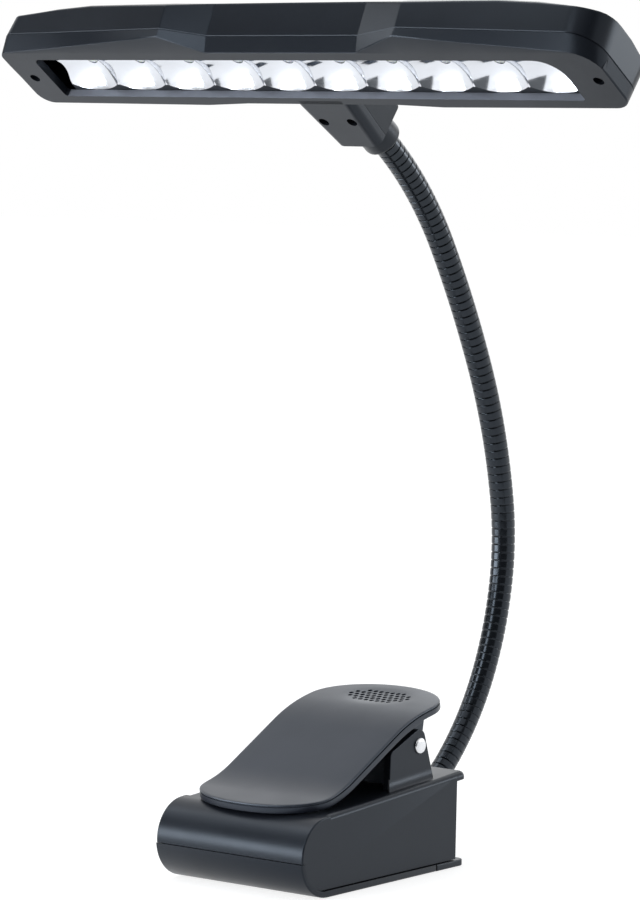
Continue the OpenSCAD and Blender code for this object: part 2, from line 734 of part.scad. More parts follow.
// Roof of the cover from the end of the head, and from the front, drawn in by an inset
module cover_roof(inset) {
    v0 = -bulge_wing - 2 + inset;
    v1 = head_w + 2 - inset;
    z1 = cover_h - inset;
    a = acos(1 - (cover_h - roof_side_z)/roof_r);
    l = roof_r*sin(a);
    polygon(concat([[v0, 0], [v1, 0]], arc([v1 - l, z1 - roof_r], roof_r, 90 - a, 90),
                   arc([v0 + l, z1 - roof_r], roof_r, 90, 90 + a)));
}
module cover_crown(inset) {
    z = cover_h - inset;
    n = 8;
    side = [for (i = [0:n]) let (t = i/n) [crown_flat + (half + 1 - crown_flat)*t, z - crown_drop*t*t]];
    polygon(concat([for (p = side) p], [[half + 1, 0], [-half - 1, 0]],
                   [for (i = [n:-1:0]) [-side[i][0], side[i][1]]]));
}
module cover_space(inset) {
    intersection() {
        across(head_l + 2) cover_roof(inset);
        translate([0, 2*head_w, 0]) rotate([90, 0, 0]) linear_extrude(4*head_w) cover_crown(inset);
        linear_extrude(cover_h + 1) head_outline(inset);
    }
}
module head_cover() {
    low = strip_back + board_gap + led_board_t + 2*fit;
    color("#2b2e34") on_head() difference() {
        union() {
            difference() {
                intersection() {
                    cover_space(0);
                    translate([-head_l, -head_w, split_w]) cube([2*head_l, 3*head_w, cover_h]);
                }
                cover_space(head_wall);
            }
            translate([0, 0, split_w]) linear_extrude(neck_w + collar_d/2 + head_wall - split_w) block_outline();
            intersection() {
                cover_space(head_wall/2);
                at_screws(head_screw_x, mid_v) translate([0, 0, bezel_t + run_gap])
                    cylinder(d = head_boss_d, h = cover_h);
            }
            for (i = [-1, 0, 1]) translate([i*lamp_pitch*3, mid_v, low])
                cylinder(d = head_boss_d, h = cover_h - low - head_wall/2);
        }
        at_screws(head_screw_x, mid_v) cylinder(d = screw_d, h = bezel_t + head_screw_l);
        at_screws(neck_screw_x, neck_screw_v) cylinder(d = screw_d, h = bezel_t + neck_screw_l);
        neck_way();
    }
}
module head_screws() {
    color("#8b8e92") on_head() at_screws(head_screw_x, mid_v)
        translate([0, 0, bezel_t - screw_head_t]) screw(head_screw_l - 1);
}
module neck_screws() {
    color("#8b8e92") on_head() at_screws(neck_screw_x, neck_screw_v)
        translate([0, 0, split_w - fit - screw_head_t]) screw(neck_screw_l - 3);
}
module neck_collar() {
    color("#33373c") on_head() difference() {
        translate([0, block_end_v - collar_in, neck_w]) rod_y(collar_d, collar_in + collar_out);
        translate([0, block_end_v - collar_in - 1, neck_w]) rod_y(neck_d + 4*fit, collar_in + collar_out + 2);
    }
}
function lamp_x(i) = (i - (lamp_count - 1)/2)*lamp_pitch;
module reflector_strip() {
    rim = 0.6;
    dish_r = (cup_r*cup_r + cup_depth*cup_depth)/(2*cup_depth);
    color("#e8eaee") on_head() translate([0, mid_v, 0]) difference() {
        union() {
            for (i = [0:lamp_count - 1]) translate([lamp_x(i), 0, bezel_t + fit])
                cylinder(r = cup_r + rim, h = strip_back - bezel_t - fit);
            translate([lamp_x(0), -cup_r*0.65, bezel_t + fit])
                cube([lamp_x(lamp_count - 1) - lamp_x(0), cup_r*1.3, strip_back - bezel_t - fit]);
        }
        for (i = [0:lamp_count - 1]) translate([lamp_x(i), 0, bezel_t + fit + cup_depth - dish_r]) {
            sphere(r = dish_r);
            cylinder(d = led_d + 4*fit, h = 2*dish_r);
        }
    }
}
module led_board() {
    edge = mid_v - board_edge;
    color("#e9efe9") on_head() translate([lamp_x(0) - cup_r, mid_v - edge, strip_back + board_gap])
        cube([lamp_x(lamp_count - 1) - lamp_x(0) + 2*cup_r, 2*edge, led_board_t]);
}
module leds() {
    color("#f5f0d0") on_head() for (i = [0:lamp_count - 1])
        translate([lamp_x(i), mid_v, strip_back + board_gap - led_stand]) {
            cylinder(d = led_d, h = led_stand);
            sphere(d = led_d);
        }
}

base_housing();
base_floor();
floor_screws();
battery_door();
battery_tray();
battery_1();
battery_2();
battery_3();
contact_springs();
contact_plates();
switch_body();
switch_knob();
driver_board();
neck_socket();
hinge_pin();
torsion_spring();
clip_lever();
jaw_pad();
lamp_lead();
gooseneck_1();
gooseneck_2();
gooseneck_3();
gooseneck_4();
gooseneck_5();
gooseneck_6();
neck_collar();
neck_screws();
head_bezel();
head_cover();
head_screws();
reflector_strip();
led_board();
leds();
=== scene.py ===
from math import acos, asin, atan, atan2, copysign, cos, degrees, hypot, pi, radians, sin, tan, tau
import bpy
from mathutils import Matrix, Vector


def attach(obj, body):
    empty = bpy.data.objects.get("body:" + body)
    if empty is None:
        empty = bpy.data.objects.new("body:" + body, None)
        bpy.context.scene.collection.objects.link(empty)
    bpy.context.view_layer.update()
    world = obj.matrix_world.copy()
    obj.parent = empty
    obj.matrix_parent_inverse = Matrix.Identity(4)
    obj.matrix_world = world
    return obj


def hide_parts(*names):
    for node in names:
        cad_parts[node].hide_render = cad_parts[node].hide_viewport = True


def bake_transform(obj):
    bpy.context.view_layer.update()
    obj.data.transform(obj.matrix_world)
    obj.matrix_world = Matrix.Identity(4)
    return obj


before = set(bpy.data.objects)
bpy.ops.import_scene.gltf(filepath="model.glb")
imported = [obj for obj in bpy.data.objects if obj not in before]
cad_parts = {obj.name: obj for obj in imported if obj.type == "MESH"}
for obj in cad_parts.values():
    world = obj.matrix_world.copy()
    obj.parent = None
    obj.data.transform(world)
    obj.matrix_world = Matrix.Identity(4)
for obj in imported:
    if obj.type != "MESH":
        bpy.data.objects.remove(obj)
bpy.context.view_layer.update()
print("frame loaded:", len(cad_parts), "nodes")

# everything is modelled in millimetres and brought to metres when a piece is finished
toMetres = 0.001
# how close to a face or an edge counts as being on it
near = 0.1


def release():
    if bpy.context.object and bpy.context.object.mode != "OBJECT":
        bpy.ops.object.mode_set(mode="OBJECT")
    bpy.ops.object.select_all(action="DESELECT")


def hold(piece):
    release()
    piece.select_set(True)
    bpy.context.view_layer.objects.active = piece


def openEdit(piece, everything=True, kind="VERT"):
    hold(piece)
    bpy.ops.object.mode_set(mode="EDIT")
    bpy.ops.mesh.select_mode(type=kind)
    bpy.ops.mesh.select_all(action="SELECT" if everything else "DESELECT")


def closeEdit():
    bpy.ops.object.mode_set(mode="OBJECT")


# the piece is opened with only the chosen edges or corners selected
def pick(piece, kind, chosen):
    openEdit(piece, False, kind)
    closeEdit()
    for part in piece.data.edges if kind == "EDGE" else piece.data.vertices:
        part.select = bool(chosen(part))
    bpy.ops.object.mode_set(mode="EDIT")


def clamp(t):
    return max(0, min(1, t))


def sameSide(p, q):
    return p.x * q.x > 0


# the value at x in a table of (x, value), in straight steps
def lookUp(x, table):
    for (x0, a), (x1, b) in zip(table, table[1:]):
        if x <= x1:
            return a + (b - a) * (x - x0) / (x1 - x0)
    return table[-1][1]


def around(count):
    return [(cos(tau * k / count), sin(tau * k / count)) for k in range(count)]


def arc(cy, cz, r, start, end, steps):
    turns = [radians(start + (end - start) * i / steps) for i in range(steps + 1)]
    return [(cy + r * cos(t), cz + r * sin(t)) for t in turns]


def rectangle(x, y):
    return [(x[0], y[0]), (x[1], y[0]), (x[1], y[1]), (x[0], y[1])]


# corners given as (a, b, radius): a radius above nothing is rounded off
def rounded(corners, steps):
    points = []
    for i, (a, b, r) in enumerate(corners):
        here = Vector((a, b))
        if r <= 0:
            points.append((a, b))
            continue
        before = (Vector(corners[i - 1][:2]) - here).normalized()
        after = (Vector(corners[(i + 1) % len(corners)][:2]) - here).normalized()
        half = before.angle(after) / 2
        centre = here + (before + after).normalized() * (r / sin(half))
        p0 = here + before * (r / tan(half)) - centre
        p1 = here + after * (r / tan(half)) - centre
        a0 = atan2(p0.y, p0.x)
        turn = atan2(p1.y, p1.x) - a0
        turn = (turn + pi) % (2 * pi) - pi
        for k in range(steps + 1):
            t = a0 + turn * k / steps
            points.append((centre.x + r * cos(t), centre.y + r * sin(t)))
    return points


# a circle whose corners are moved to the outline
def plate(name, points, filled=True):
    release()
    fillType = "NGON" if filled else "NOTHING"
    bpy.ops.mesh.primitive_circle_add(vertices=len(points), radius=1, fill_type=fillType)
    piece = bpy.context.object
    piece.name = piece.data.name = name
    for v, p in zip(piece.data.vertices, points):
        v.co = p
    return piece


def thicken(piece, move):
    openEdit(piece)
    bpy.ops.mesh.extrude_region_move(TRANSFORM_OT_translate={"value": move})
    closeEdit()
    return mendNormals(piece)


def mendNormals(piece):
    openEdit(piece)
    bpy.ops.mesh.normals_make_consistent(inside=False)
    closeEdit()
    return piece


# an outline in Y and Z drawn out across the lamp from x0 to x1
def across(name, outline, x0, x1):
    return thicken(plate(name, [(x0, y, z) for y, z in outline]), (x1 - x0, 0, 0))


# an outline in X and Y drawn upwards
def upright(name, outline, z0, z1):
    return thicken(plate(name, [(x, y, z0) for x, y in outline]), (0, 0, z1 - z0))


# ring after ring is extruded from the last one and moved to its place
def loft(name, rings, capStart=True, capEnd=True):
    piece, count = plate(name, rings[0], capStart), len(rings[0])
    for ring in rings[1:]:
        total = len(piece.data.vertices)
        pick(piece, "EDGE", lambda e: min(e.vertices) >= total - count)
        bpy.ops.mesh.extrude_edges_move(TRANSFORM_OT_translate={"value": (0, 0, 0)})
        closeEdit()
        for v, p in zip(list(piece.data.vertices)[total:], ring):
            v.co = p
    if capEnd:
        total = len(piece.data.vertices)
        pick(piece, "VERT", lambda v: v.index >= total - count)
        bpy.ops.mesh.edge_face_add()
        closeEdit()
    return mendNormals(piece)


# edges whose two ends both pass the test, and the pair's test, are bevelled
def softenEdges(piece, test, width, segments, pair=lambda p, q: True):
    def chosen(e):
        p, q = (piece.data.vertices[i].co for i in e.vertices)
        return test(p) and test(q) and pair(p, q)
    pick(piece, "EDGE", chosen)
    bpy.ops.mesh.bevel(offset=width, segments=segments, profile=0.5, affect="EDGES", clamp_overlap=True)
    closeEdit()
    return piece


def modify(piece, kind, **settings):
    tool = piece.modifiers.new(kind.lower(), kind)
    for name, value in settings.items():
        setattr(tool, name, value)
    hold(piece)
    bpy.ops.object.modifier_apply(modifier=tool.name)
    return piece


def combine(piece, other, how="UNION"):
    modify(piece, "BOOLEAN", operation=how, solver="EXACT", object=other)
    bpy.data.objects.remove(other)
    return piece


def drill(piece, r, depth, place, direction=(0, 0, 1), sides=24):
    release()
    bpy.ops.mesh.primitive_cylinder_add(vertices=sides, radius=r, depth=depth)
    tool = bpy.context.object
    tool.data.transform(Vector((0, 0, 1)).rotation_difference(Vector(direction)).to_matrix().to_4x4())
    tool.data.transform(Matrix.Translation(place))
    return combine(piece, tool, "DIFFERENCE")


def join(pieces):
    release()
    for p in pieces:
        p.select_set(True)
    bpy.context.view_layer.objects.active = pieces[0]
    bpy.ops.object.join()
    return pieces[0]


# copies in a row, each moved on by one step and merged with the last
def repeat(piece, count, step):
    return modify(piece, "ARRAY", count=count, use_relative_offset=False, use_constant_offset=True,
                  constant_offset_displace=step, use_merge_vertices=True, merge_threshold=0.01)


def weld(piece, reach):
    openEdit(piece)
    bpy.ops.mesh.remove_doubles(threshold=reach)
    bpy.ops.mesh.normals_make_consistent(inside=False)
    closeEdit()
    return piece


def finishPiece(piece, finish, body=None, nodes=(), angle=32, merge=0.002, even=False):
    weld(piece, merge)
    piece.data.transform(Matrix.Scale(toMetres, 4))
    bpy.ops.object.shade_smooth_by_angle(angle=radians(angle))
    if even:
        modify(piece, "WEIGHTED_NORMAL", keep_sharp=True)
    piece.data.materials.clear()
    piece.data.materials.append(paint[finish])
    if body:
        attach(piece, body)
    if nodes:
        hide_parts(*nodes)
    return piece


def dial(node, values):
    for name, value in values.items():
        node.inputs[name].default_value = value


def newFinish(name):
    finish = bpy.data.materials.new(name)
    finish.use_nodes = True
    nodes, links = finish.node_tree.nodes, finish.node_tree.links
    return finish, nodes, links, nodes["Principled BSDF"]


# a noise on the object's own coordinates
def grainNode(nodes, links, scale, detail, stretch=(1, 1, 1)):
    place, turn, noise = (nodes.new("ShaderNode" + kind) for kind in ("TexCoord", "Mapping", "TexNoise"))
    dial(turn, {"Scale": stretch})
    dial(noise, {"Scale": scale, "Detail": detail})
    links.new(place.outputs["Object"], turn.inputs["Vector"])
    links.new(turn.outputs["Vector"], noise.inputs["Vector"])
    return noise.outputs["Fac"]


# the stretch of a noise's values that counts
noiseRange = (0.3, 0.7)


def spread(nodes, links, source, low, high):
    scale = nodes.new("ShaderNodeMapRange")
    dial(scale, {"From Min": noiseRange[0], "From Max": noiseRange[1], "To Min": low, "To Max": high})
    links.new(source, scale.inputs["Value"])
    return scale.outputs["Result"]


def twoTone(nodes, links, source, first, second):
    ramp = nodes.new("ShaderNodeValToRGB")
    for element, at, tone in zip(ramp.color_ramp.elements, noiseRange, (first, second)):
        element.position = at
        element.color = (*tone, 1)
    links.new(source, ramp.inputs["Fac"])
    return ramp.outputs["Color"]


def bumpFrom(nodes, links, source, shader, strength, depth):
    bump = nodes.new("ShaderNodeBump")
    dial(bump, {"Strength": strength, "Distance": depth})
    links.new(source, bump.inputs["Height"])
    links.new(bump.outputs["Normal"], shader.inputs["Normal"])


def shades(tone, spreadOf):
    return tuple(c * (1 - spreadOf) for c in tone), tuple(min(1, c * (1 + spreadOf)) for c in tone)


mould = dict(cloud=55, bumpDeep=0.00005, gloss=(0.72, 0.84, 1.0, 1))


# moulded plastic: a fine spark-eroded grain, slow cloudy change of tone, worn gloss in patches
def mouldedFinish(name, tone, rough, spreadOf=0.14, grain=2600, strength=0.12, specular=0.5, wear=0.03):
    finish, nodes, links, shader = newFinish(name)
    cloud, fine = grainNode(nodes, links, mould["cloud"], 5), grainNode(nodes, links, grain, 2)
    links.new(twoTone(nodes, links, cloud, *shades(tone, spreadOf)), shader.inputs["Base Color"])
    links.new(spread(nodes, links, cloud, rough + wear, rough - wear), shader.inputs["Roughness"])
    bumpFrom(nodes, links, fine, shader, strength, mould["bumpDeep"])
    dial(shader, {"Specular IOR Level": specular, "Specular Tint": mould["gloss"]})
    return finish


metal = dict(cloud=160, bumpDeep=0.00003, uneven=0.06, least=0.02, stretch=(1, 1, 30))


# metal: fine streaks in gloss and height, slow change of tone
def metalFinish(name, tone, rough, grain=900, strength=0.1, spreadOf=0.1):
    finish, nodes, links, shader = newFinish(name)
    streak = grainNode(nodes, links, grain, 3, metal["stretch"])
    cloud = grainNode(nodes, links, metal["cloud"], 3)
    smooth, coarse = max(metal["least"], rough - metal["uneven"]), rough + metal["uneven"]
    links.new(twoTone(nodes, links, cloud, *shades(tone, spreadOf)), shader.inputs["Base Color"])
    links.new(spread(nodes, links, streak, smooth, coarse), shader.inputs["Roughness"])
    bumpFrom(nodes, links, streak, shader, strength, metal["bumpDeep"])
    dial(shader, {"Metallic": 1.0})
    return finish


finishes = {
    "casePlastic": dict(tone=(0.0085, 0.0098, 0.0135), rough=0.33, specular=0.34),
    "leverPlastic": dict(tone=(0.011, 0.013, 0.02), rough=0.35, specular=0.55),
    "bezelPlastic": dict(tone=(0.0085, 0.0098, 0.0135), rough=0.33, specular=0.34),
    "coverPlastic": dict(tone=(0.007, 0.0082, 0.0115), rough=0.28, specular=0.24, grain=900, strength=0.02,
                         wear=0.0),
    "innerPlastic": dict(tone=(0.012, 0.012, 0.014), rough=0.5),
    "knobPlastic": dict(tone=(0.01, 0.01, 0.012), rough=0.45),
    "collarPlastic": dict(tone=(0.009, 0.01, 0.0125), rough=0.32, specular=0.34),
    "neckPaint": dict(tone=(0.003, 0.0032, 0.0038), rough=0.2, grain=1500, strength=0.04, specular=0.5),
    # painted bounce light: a pale grey given only to the window's far wall, standing in for light thrown back
    # from the cups
    "ledgePaintedLight": dict(tone=(0.17, 0.18, 0.21), rough=0.4),
    "padRubber": dict(tone=(0.018, 0.018, 0.018), rough=0.75, grain=1200, strength=0.4),
    "leadSleeve": dict(tone=(0.03, 0.03, 0.03), rough=0.55),
    "boardMask": dict(tone=(0.05, 0.22, 0.12), rough=0.35),
    "cellSleeve": dict(tone=(0.5, 0.36, 0.16), rough=0.35),
}
paint = {name: mouldedFinish(name, **values) for name, values in finishes.items()}
metals = {
    "pinSteel": dict(tone=(0.7, 0.71, 0.73), rough=0.24),
    "springSteel": dict(tone=(0.45, 0.46, 0.48), rough=0.3),
    "screwSteel": dict(tone=(0.1, 0.1, 0.11), rough=0.4),
    "contactSteel": dict(tone=(0.7, 0.71, 0.72), rough=0.25),
    "reflectorCoat": dict(tone=(0.7, 0.72, 0.765), rough=0.11, grain=300, strength=0.05, spreadOf=0.03),
}
paint.update({name: metalFinish(name, **values) for name, values in metals.items()})


lens = dict(cloud=700, tones=((0.84, 0.86, 0.88), (0.92, 0.94, 0.96)), rough=(0.08, 0.16), milk=0.25,
            milkDeep=(0.001, 0.0009, 0.0006))


def lensFinish(name):
    finish, nodes, links, shader = newFinish(name)
    cloud = grainNode(nodes, links, lens["cloud"], 2)
    links.new(twoTone(nodes, links, cloud, *lens["tones"]), shader.inputs["Base Color"])
    links.new(spread(nodes, links, cloud, *lens["rough"]), shader.inputs["Roughness"])
    dial(shader, {"Subsurface Weight": lens["milk"], "Subsurface Radius": lens["milkDeep"]})
    return finish


paint["ledLens"] = lensFinish("ledLens")
print("finishes ready:", len(paint))


# the camera as the photograph's, solved on the base's straight edges
view = dict(place=(0.87902, -1.05825, 0.26857), pitch=90 - 5.3613, turn=39.6, lens=169.64, sensor=36, far=50)
release()
bpy.ops.object.camera_add(location=view["place"],
                          rotation=(radians(view["pitch"]), 0, radians(view["turn"])))
camera = bpy.context.object
camera.name = "photoCamera"
camera.data.lens = view["lens"]
camera.data.sensor_width = view["sensor"]
camera.data.clip_end = view["far"]
bpy.context.scene.camera = camera
bpy.context.scene.view_settings.view_transform = "Standard"


# one shader for the light that falls, another for rays that look: from the camera, off gloss, through glass
def splitRays(nodes, links, falling, looked, output):
    ray, mix = nodes.new("ShaderNodeLightPath"), nodes.new("ShaderNodeMixShader")
    some = ray.outputs["Is Camera Ray"]
    for kind in ("Is Glossy Ray", "Is Transmission Ray"):
        either = nodes.new("ShaderNodeMath")
        either.operation = "MAXIMUM"
        links.new(some, either.inputs[0])
        links.new(ray.outputs[kind], either.inputs[1])
        some = either.outputs["Value"]
    links.new(some, mix.inputs["Fac"])
    links.new(falling, mix.inputs[1])
    links.new(looked, mix.inputs[2])
    links.new(mix.outputs["Shader"], nodes[output].inputs["Surface"])


# the air's light grows from the front to the back, and is white where it is looked at
studio = dict(front=0.2, back=0.7, fade=0.7, tint=(0.93, 0.97, 1.0, 1))
world = bpy.data.worlds.new("studioAir")
bpy.context.scene.world = world
world.use_nodes = True
wn, wl = world.node_tree.nodes, world.node_tree.links
sky = wn["Background"]
seen, where, parts, fade = (wn.new("ShaderNode" + kind)
                            for kind in ("Background", "TexCoord", "SeparateXYZ", "MapRange"))
dial(sky, {"Color": studio["tint"]})
dial(seen, {"Color": (1, 1, 1, 1), "Strength": 1.0})
dial(fade, {"From Min": -studio["fade"], "From Max": studio["fade"],
            "To Min": studio["front"], "To Max": studio["back"]})
wl.new(where.outputs["Generated"], parts.inputs["Vector"])
wl.new(parts.outputs["Y"], fade.inputs["Value"])
wl.new(fade.outputs["Result"], sky.inputs["Strength"])
splitRays(wn, wl, sky.outputs["Background"], seen.outputs["Background"], "World Output")

# each lamp's name, place, aim, size and power
lamps = [
    ("keyBox", (-0.7, -0.3, 1.4), (0, 0, 0.12), (0.9, 0.9), 4.2),
    ("backBox", (-0.5, 1.3, 0.9), (0, 0, 0.15), (1.2, 1.2), 3.5),
    ("rightBox", (1.02, 1.26, 0.4), (0.12, 0, 0.27), (0.8, 0.4), 4.8),
    ("leftBox", (-1.16, -0.34, 0.74), (0, 0, 0.27), (0.36, 0.36), 1.3),
    ("frontBox", (-0.2, -1.15, 0.74), (-0.03, 0, 0.27), (0.4, 1.1), 7.6),
    ("lowStrip", (-0.38, -0.45, 0.095), (0, 0, 0.02), (0.46, 0.15), 1.9),
]
for name, place, aim, size, power in lamps:
    release()
    bpy.ops.object.light_add(type="AREA", location=place)
    box = bpy.context.object
    box.name = name
    box.data.shape = "RECTANGLE"
    box.data.size, box.data.size_y = size
    box.data.energy = power
    box.data.color = studio["tint"][:3]
    box.rotation_euler = (Vector(aim) - Vector(place)).to_track_quat("-Z", "Y").to_euler()

# the floor is white where it is looked at, and keeps the object's shadow
ground = dict(size=8, tone=(0.35, 0.35, 0.35, 1), rough=0.9, glow=0.8, z=-0.0002)
release()
bpy.ops.mesh.primitive_plane_add(size=ground["size"])
floor = bpy.context.object
floor.name = "studioFloor"
paper, pn, pl, paperShader = newFinish("floorPaper")
paperGlow, paperAdd = pn.new("ShaderNodeEmission"), pn.new("ShaderNodeAddShader")
dial(paperShader, {"Base Color": ground["tone"], "Roughness": ground["rough"]})
dial(paperGlow, {"Strength": ground["glow"]})
pl.new(paperShader.outputs["BSDF"], paperAdd.inputs[0])
pl.new(paperGlow.outputs["Emission"], paperAdd.inputs[1])
splitRays(pn, pl, paperShader.outputs["BSDF"], paperAdd.outputs["Shader"], "Material Output")
floor.data.materials.append(paper)
floor.location = (0, 0, ground["z"])

# a grey backdrop curved round the front, which the dark plastic mirrors; it casts no shade and the camera
# doesn't see it; its right half runs on over the floor towards the object
backdrop = dict(r=2.6, high=3.2, first=-172.0, last=-8.0, sheetFrom=-92.0, sheetR=0.36, sheetUp=0.004,
                steps=32, strength=0.16, tone=(0.9, 0.95, 1.0, 1))
release()
bpy.ops.mesh.primitive_grid_add(x_subdivisions=backdrop["steps"], y_subdivisions=2, size=1)
curtain = bpy.context.object
curtain.name = "frontBackdrop"
for v in curtain.data.vertices:
    turn = backdrop["first"] + (backdrop["last"] - backdrop["first"]) * (v.co.x + 0.5)
    row = round(2 * v.co.y)
    onFloor = row < 0 and turn > backdrop["sheetFrom"]
    r = backdrop["sheetR"] if onFloor else backdrop["r"]
    z = backdrop["high"] if row > 0 else backdrop["sheetUp"] if onFloor else 0
    v.co = (r * cos(radians(turn)), r * sin(radians(turn)), z)
cloth, cn, cl = newFinish("backdropCloth")[:3]
clothGlow = cn.new("ShaderNodeEmission")
dial(clothGlow, {"Color": backdrop["tone"], "Strength": backdrop["strength"]})
cl.new(clothGlow.outputs["Emission"], cn["Material Output"].inputs["Surface"])
curtain.data.materials.append(cloth)
curtain.visible_camera = curtain.visible_diffuse = curtain.visible_shadow = False
print("camera, lamps, floor and backdrop set")


# a route is a list of runs of (length, bend in degrees), which the gooseneck and the lever follow
def routeAt(start, runs, s):
    y, z, a = start
    for i, (length, bend) in enumerate(runs):
        within = s <= length or i == len(runs) - 1
        here = s if within else length
        if bend == 0:
            y, z = y + here * cos(a), z + here * sin(a)
        else:
            k = radians(bend) / length
            b = a + k * here
            y, z, a = y + (sin(b) - sin(a)) / k, z - (cos(b) - cos(a)) / k, b
        if within:
            return y, z, a
        s -= length


# base: a wedge with recessed sides, the upper half of the nose as a wider band, and a lip behind
base = dict(half=31.0, panelHalf=30.2, noseY=-29.1, noseZ=13.2, panelR=11.0, slope=0.07283, low=2.5,
            rearTop=39.2, rearLow=38.2, edge=1.9, rearEdge=0.4, rearHigh=15, bandR=12.8, bandInR=9.4,
            bandY=-27.7, bandInZ=22.8, seam=12.45, bandEdge=0.55)
lip = dict(half=30.21, front=35.5, rear=44.6, thick=2.6, corner=2.8, edge=1.9)
ear = dict(inX=23.8, outX=26.4, edge=0.3,
           outline=[(7.75, 27.0, 0), (8.65, 41.2, 2.2), (25.7, 48.4, 3.2), (31.5, 29.0, 0)])
flare = dict(wide=2.5, high=3.8, inset=0.6, sunk=0.8, steps=10, frontY=7.85, frontLean=1.2, backY=30.9,
             backLean=1.4, backSlope=0.3143)
stop = dict(y=28.6, thick=2.0, top=33.6, half=24.6, sunk=1, edge=0.3)
room = dict(half=28.2, noseR=11.05, rear=36.3, roof=1.75, below=-1)
slot = dict(x=(-32, -27), y=(17.9, 29.4), z=(8.8, 11.2))
neckHole = dict(r=5.85, deep=8, place=(0, 38, 15.6), sides=40)
tangent = degrees(atan(base["slope"])) + 90
touchY = base["noseY"] + base["bandR"] * cos(radians(tangent))
touchZ = base["noseZ"] + base["bandR"] * sin(radians(tangent))


def topZ(y):
    return touchZ + (y - touchY) * base["slope"]


def onTop(p):
    return abs(p.z - topZ(p.y)) < near


def noseReach(p):
    return hypot(p.y - base["noseY"], p.z - base["noseZ"])


# the turn round the nose at which a circle comes down to a height
def noseTurn(z, r):
    return 180 - degrees(asin((z - base["noseZ"]) / r))


def noseArc(r, start, end, steps):
    return arc(base["noseY"], base["noseZ"], r, start, end, steps)


# one end of the hollow flare along an ear's foot
def flareRing(side, back):
    inner, outer = ear["outX"] - flare["inset"], ear["outX"] + flare["wide"]
    turns = [pi / 2 * k / flare["steps"] for k in range(flare["steps"] + 1)]
    curve = [(ear["outX"] + flare["wide"] * (1 - cos(t)), flare["high"] * (1 - sin(t))) for t in turns]
    ring = []
    for x, up in [(inner, -flare["sunk"]), (inner, flare["high"])] + curve + [(outer, -flare["sunk"])]:
        out = max(0, x - ear["outX"])
        if back:
            y = flare["backY"] - flare["backSlope"] * up - flare["backLean"] * out
        else:
            y = flare["frontY"] - flare["frontLean"] * out
        ring.append((side * x, y, topZ(y) + up))
    return ring


def makeBaseShell():
    b = base
    body = across("baseShell",
                  noseArc(b["panelR"], 90, noseTurn(b["low"], b["panelR"]), 24)
                  + [(b["rearLow"], b["low"]), (b["rearTop"], topZ(b["rearTop"])),
                     (b["noseY"], topZ(b["noseY"]))],
                  -b["panelHalf"], b["panelHalf"])

    def onPanel(p):
        return abs(p.x) > b["panelHalf"] - near
    softenEdges(body, lambda p: onPanel(p) and onTop(p), b["edge"], 5, sameSide)
    softenEdges(body, lambda p: onPanel(p) and p.y > b["rearLow"] - near, b["rearEdge"], 3,
                lambda p, q: sameSide(p, q) and abs(p.z - q.z) > b["rearHigh"])
    seamTurn = noseTurn(b["seam"], b["bandR"])
    band = across("noseBand",
                  [(b["bandY"], topZ(b["bandY"]))] + noseArc(b["bandR"], tangent, seamTurn, 28)
                  + noseArc(b["bandInR"], seamTurn + 1, 90, 20) + [(b["bandY"], b["bandInZ"])],
                  -b["half"], b["half"])
    softenEdges(band, lambda p: noseReach(p) > b["bandR"] - near, b["bandEdge"], 3, sameSide)
    combine(body, band)
    lipEdge = rounded([(-lip["half"], lip["front"], 0), (lip["half"], lip["front"], 0),
                       (lip["half"], lip["rear"], lip["corner"]),
                       (-lip["half"], lip["rear"], lip["corner"])], 10)
    shelf = thicken(plate("rearLip", [(x, y, topZ(y)) for x, y in lipEdge]), (0, 0, -lip["thick"]))
    softenEdges(shelf, onTop, lip["edge"], 5, lambda p, q: max(p.y, q.y) > lip["front"] + near)
    combine(body, shelf)
    # hinge ears with the hollow flare along their feet
    for side in (-1, 1):
        wing = across("ear", rounded(ear["outline"], 8), side * ear["inX"], side * ear["outX"])
        softenEdges(wing, lambda p: abs(p.x) > ear["outX"] - near, ear["edge"], 2)
        combine(body, wing)
        combine(body, loft("flare", [flareRing(side, False), flareRing(side, True)]))
    # low wall between the ears, behind the pin
    y0, y1 = stop["y"], stop["y"] + stop["thick"]
    wall = across("stopWall", [(y0, topZ(y0) - stop["sunk"]), (y1, topZ(y1) - stop["sunk"]),
                               (y1, stop["top"]), (y0, stop["top"])], -stop["half"], stop["half"])
    combine(body, softenEdges(wall, lambda p: p.z > stop["top"] - near, stop["edge"], 2))
    # hollow inside, open below, with a slot for the switch and a hole for the gooseneck
    hollow = across("room", noseArc(room["noseR"], 90, 270, 24)
                    + [(b["noseY"], room["below"]), (room["rear"], room["below"]),
                       (room["rear"], topZ(room["rear"]) - room["roof"])], -room["half"], room["half"])
    combine(body, hollow, "DIFFERENCE")
    combine(body, upright("slot", rectangle(slot["x"], slot["y"]), *slot["z"]), "DIFFERENCE")
    drill(body, neckHole["r"], neckHole["deep"], neckHole["place"], (0, 1, 0), neckHole["sides"])
    finishPiece(body, "casePlastic", "base", ["base_housing"], angle=30, even=True)


# the door ends at the split of the bottom plate, and the fixed rear floor starts behind it
door = dict(r=13.2, inR=11.2, inFrom=262, top=12.28, plateTop=2.2, plateFrom=-30.3, split=27.3,
            gap=0.15, edge=0.5)
rearPlate = dict(rear=42.3, corner=2.6, edge=0.35, screwX=16, screwY=32.9, holeR=1.85, holeDeep=3)


def makeDoor():
    d, end = door, door["split"] - door["gap"]
    piece = across("batteryDoor",
                   noseArc(d["r"], noseTurn(d["top"], d["r"]), 270, 24)
                   + [(end, 0), (end, d["plateTop"]), (d["plateFrom"], d["plateTop"])]
                   + noseArc(d["inR"], d["inFrom"], noseTurn(d["top"], d["inR"]), 18),
                   -base["half"], base["half"])
    softenEdges(piece, lambda p: noseReach(p) > d["r"] - near or p.z < near, d["edge"], 3, sameSide)
    finishPiece(piece, "casePlastic", "door", ["battery_door"])


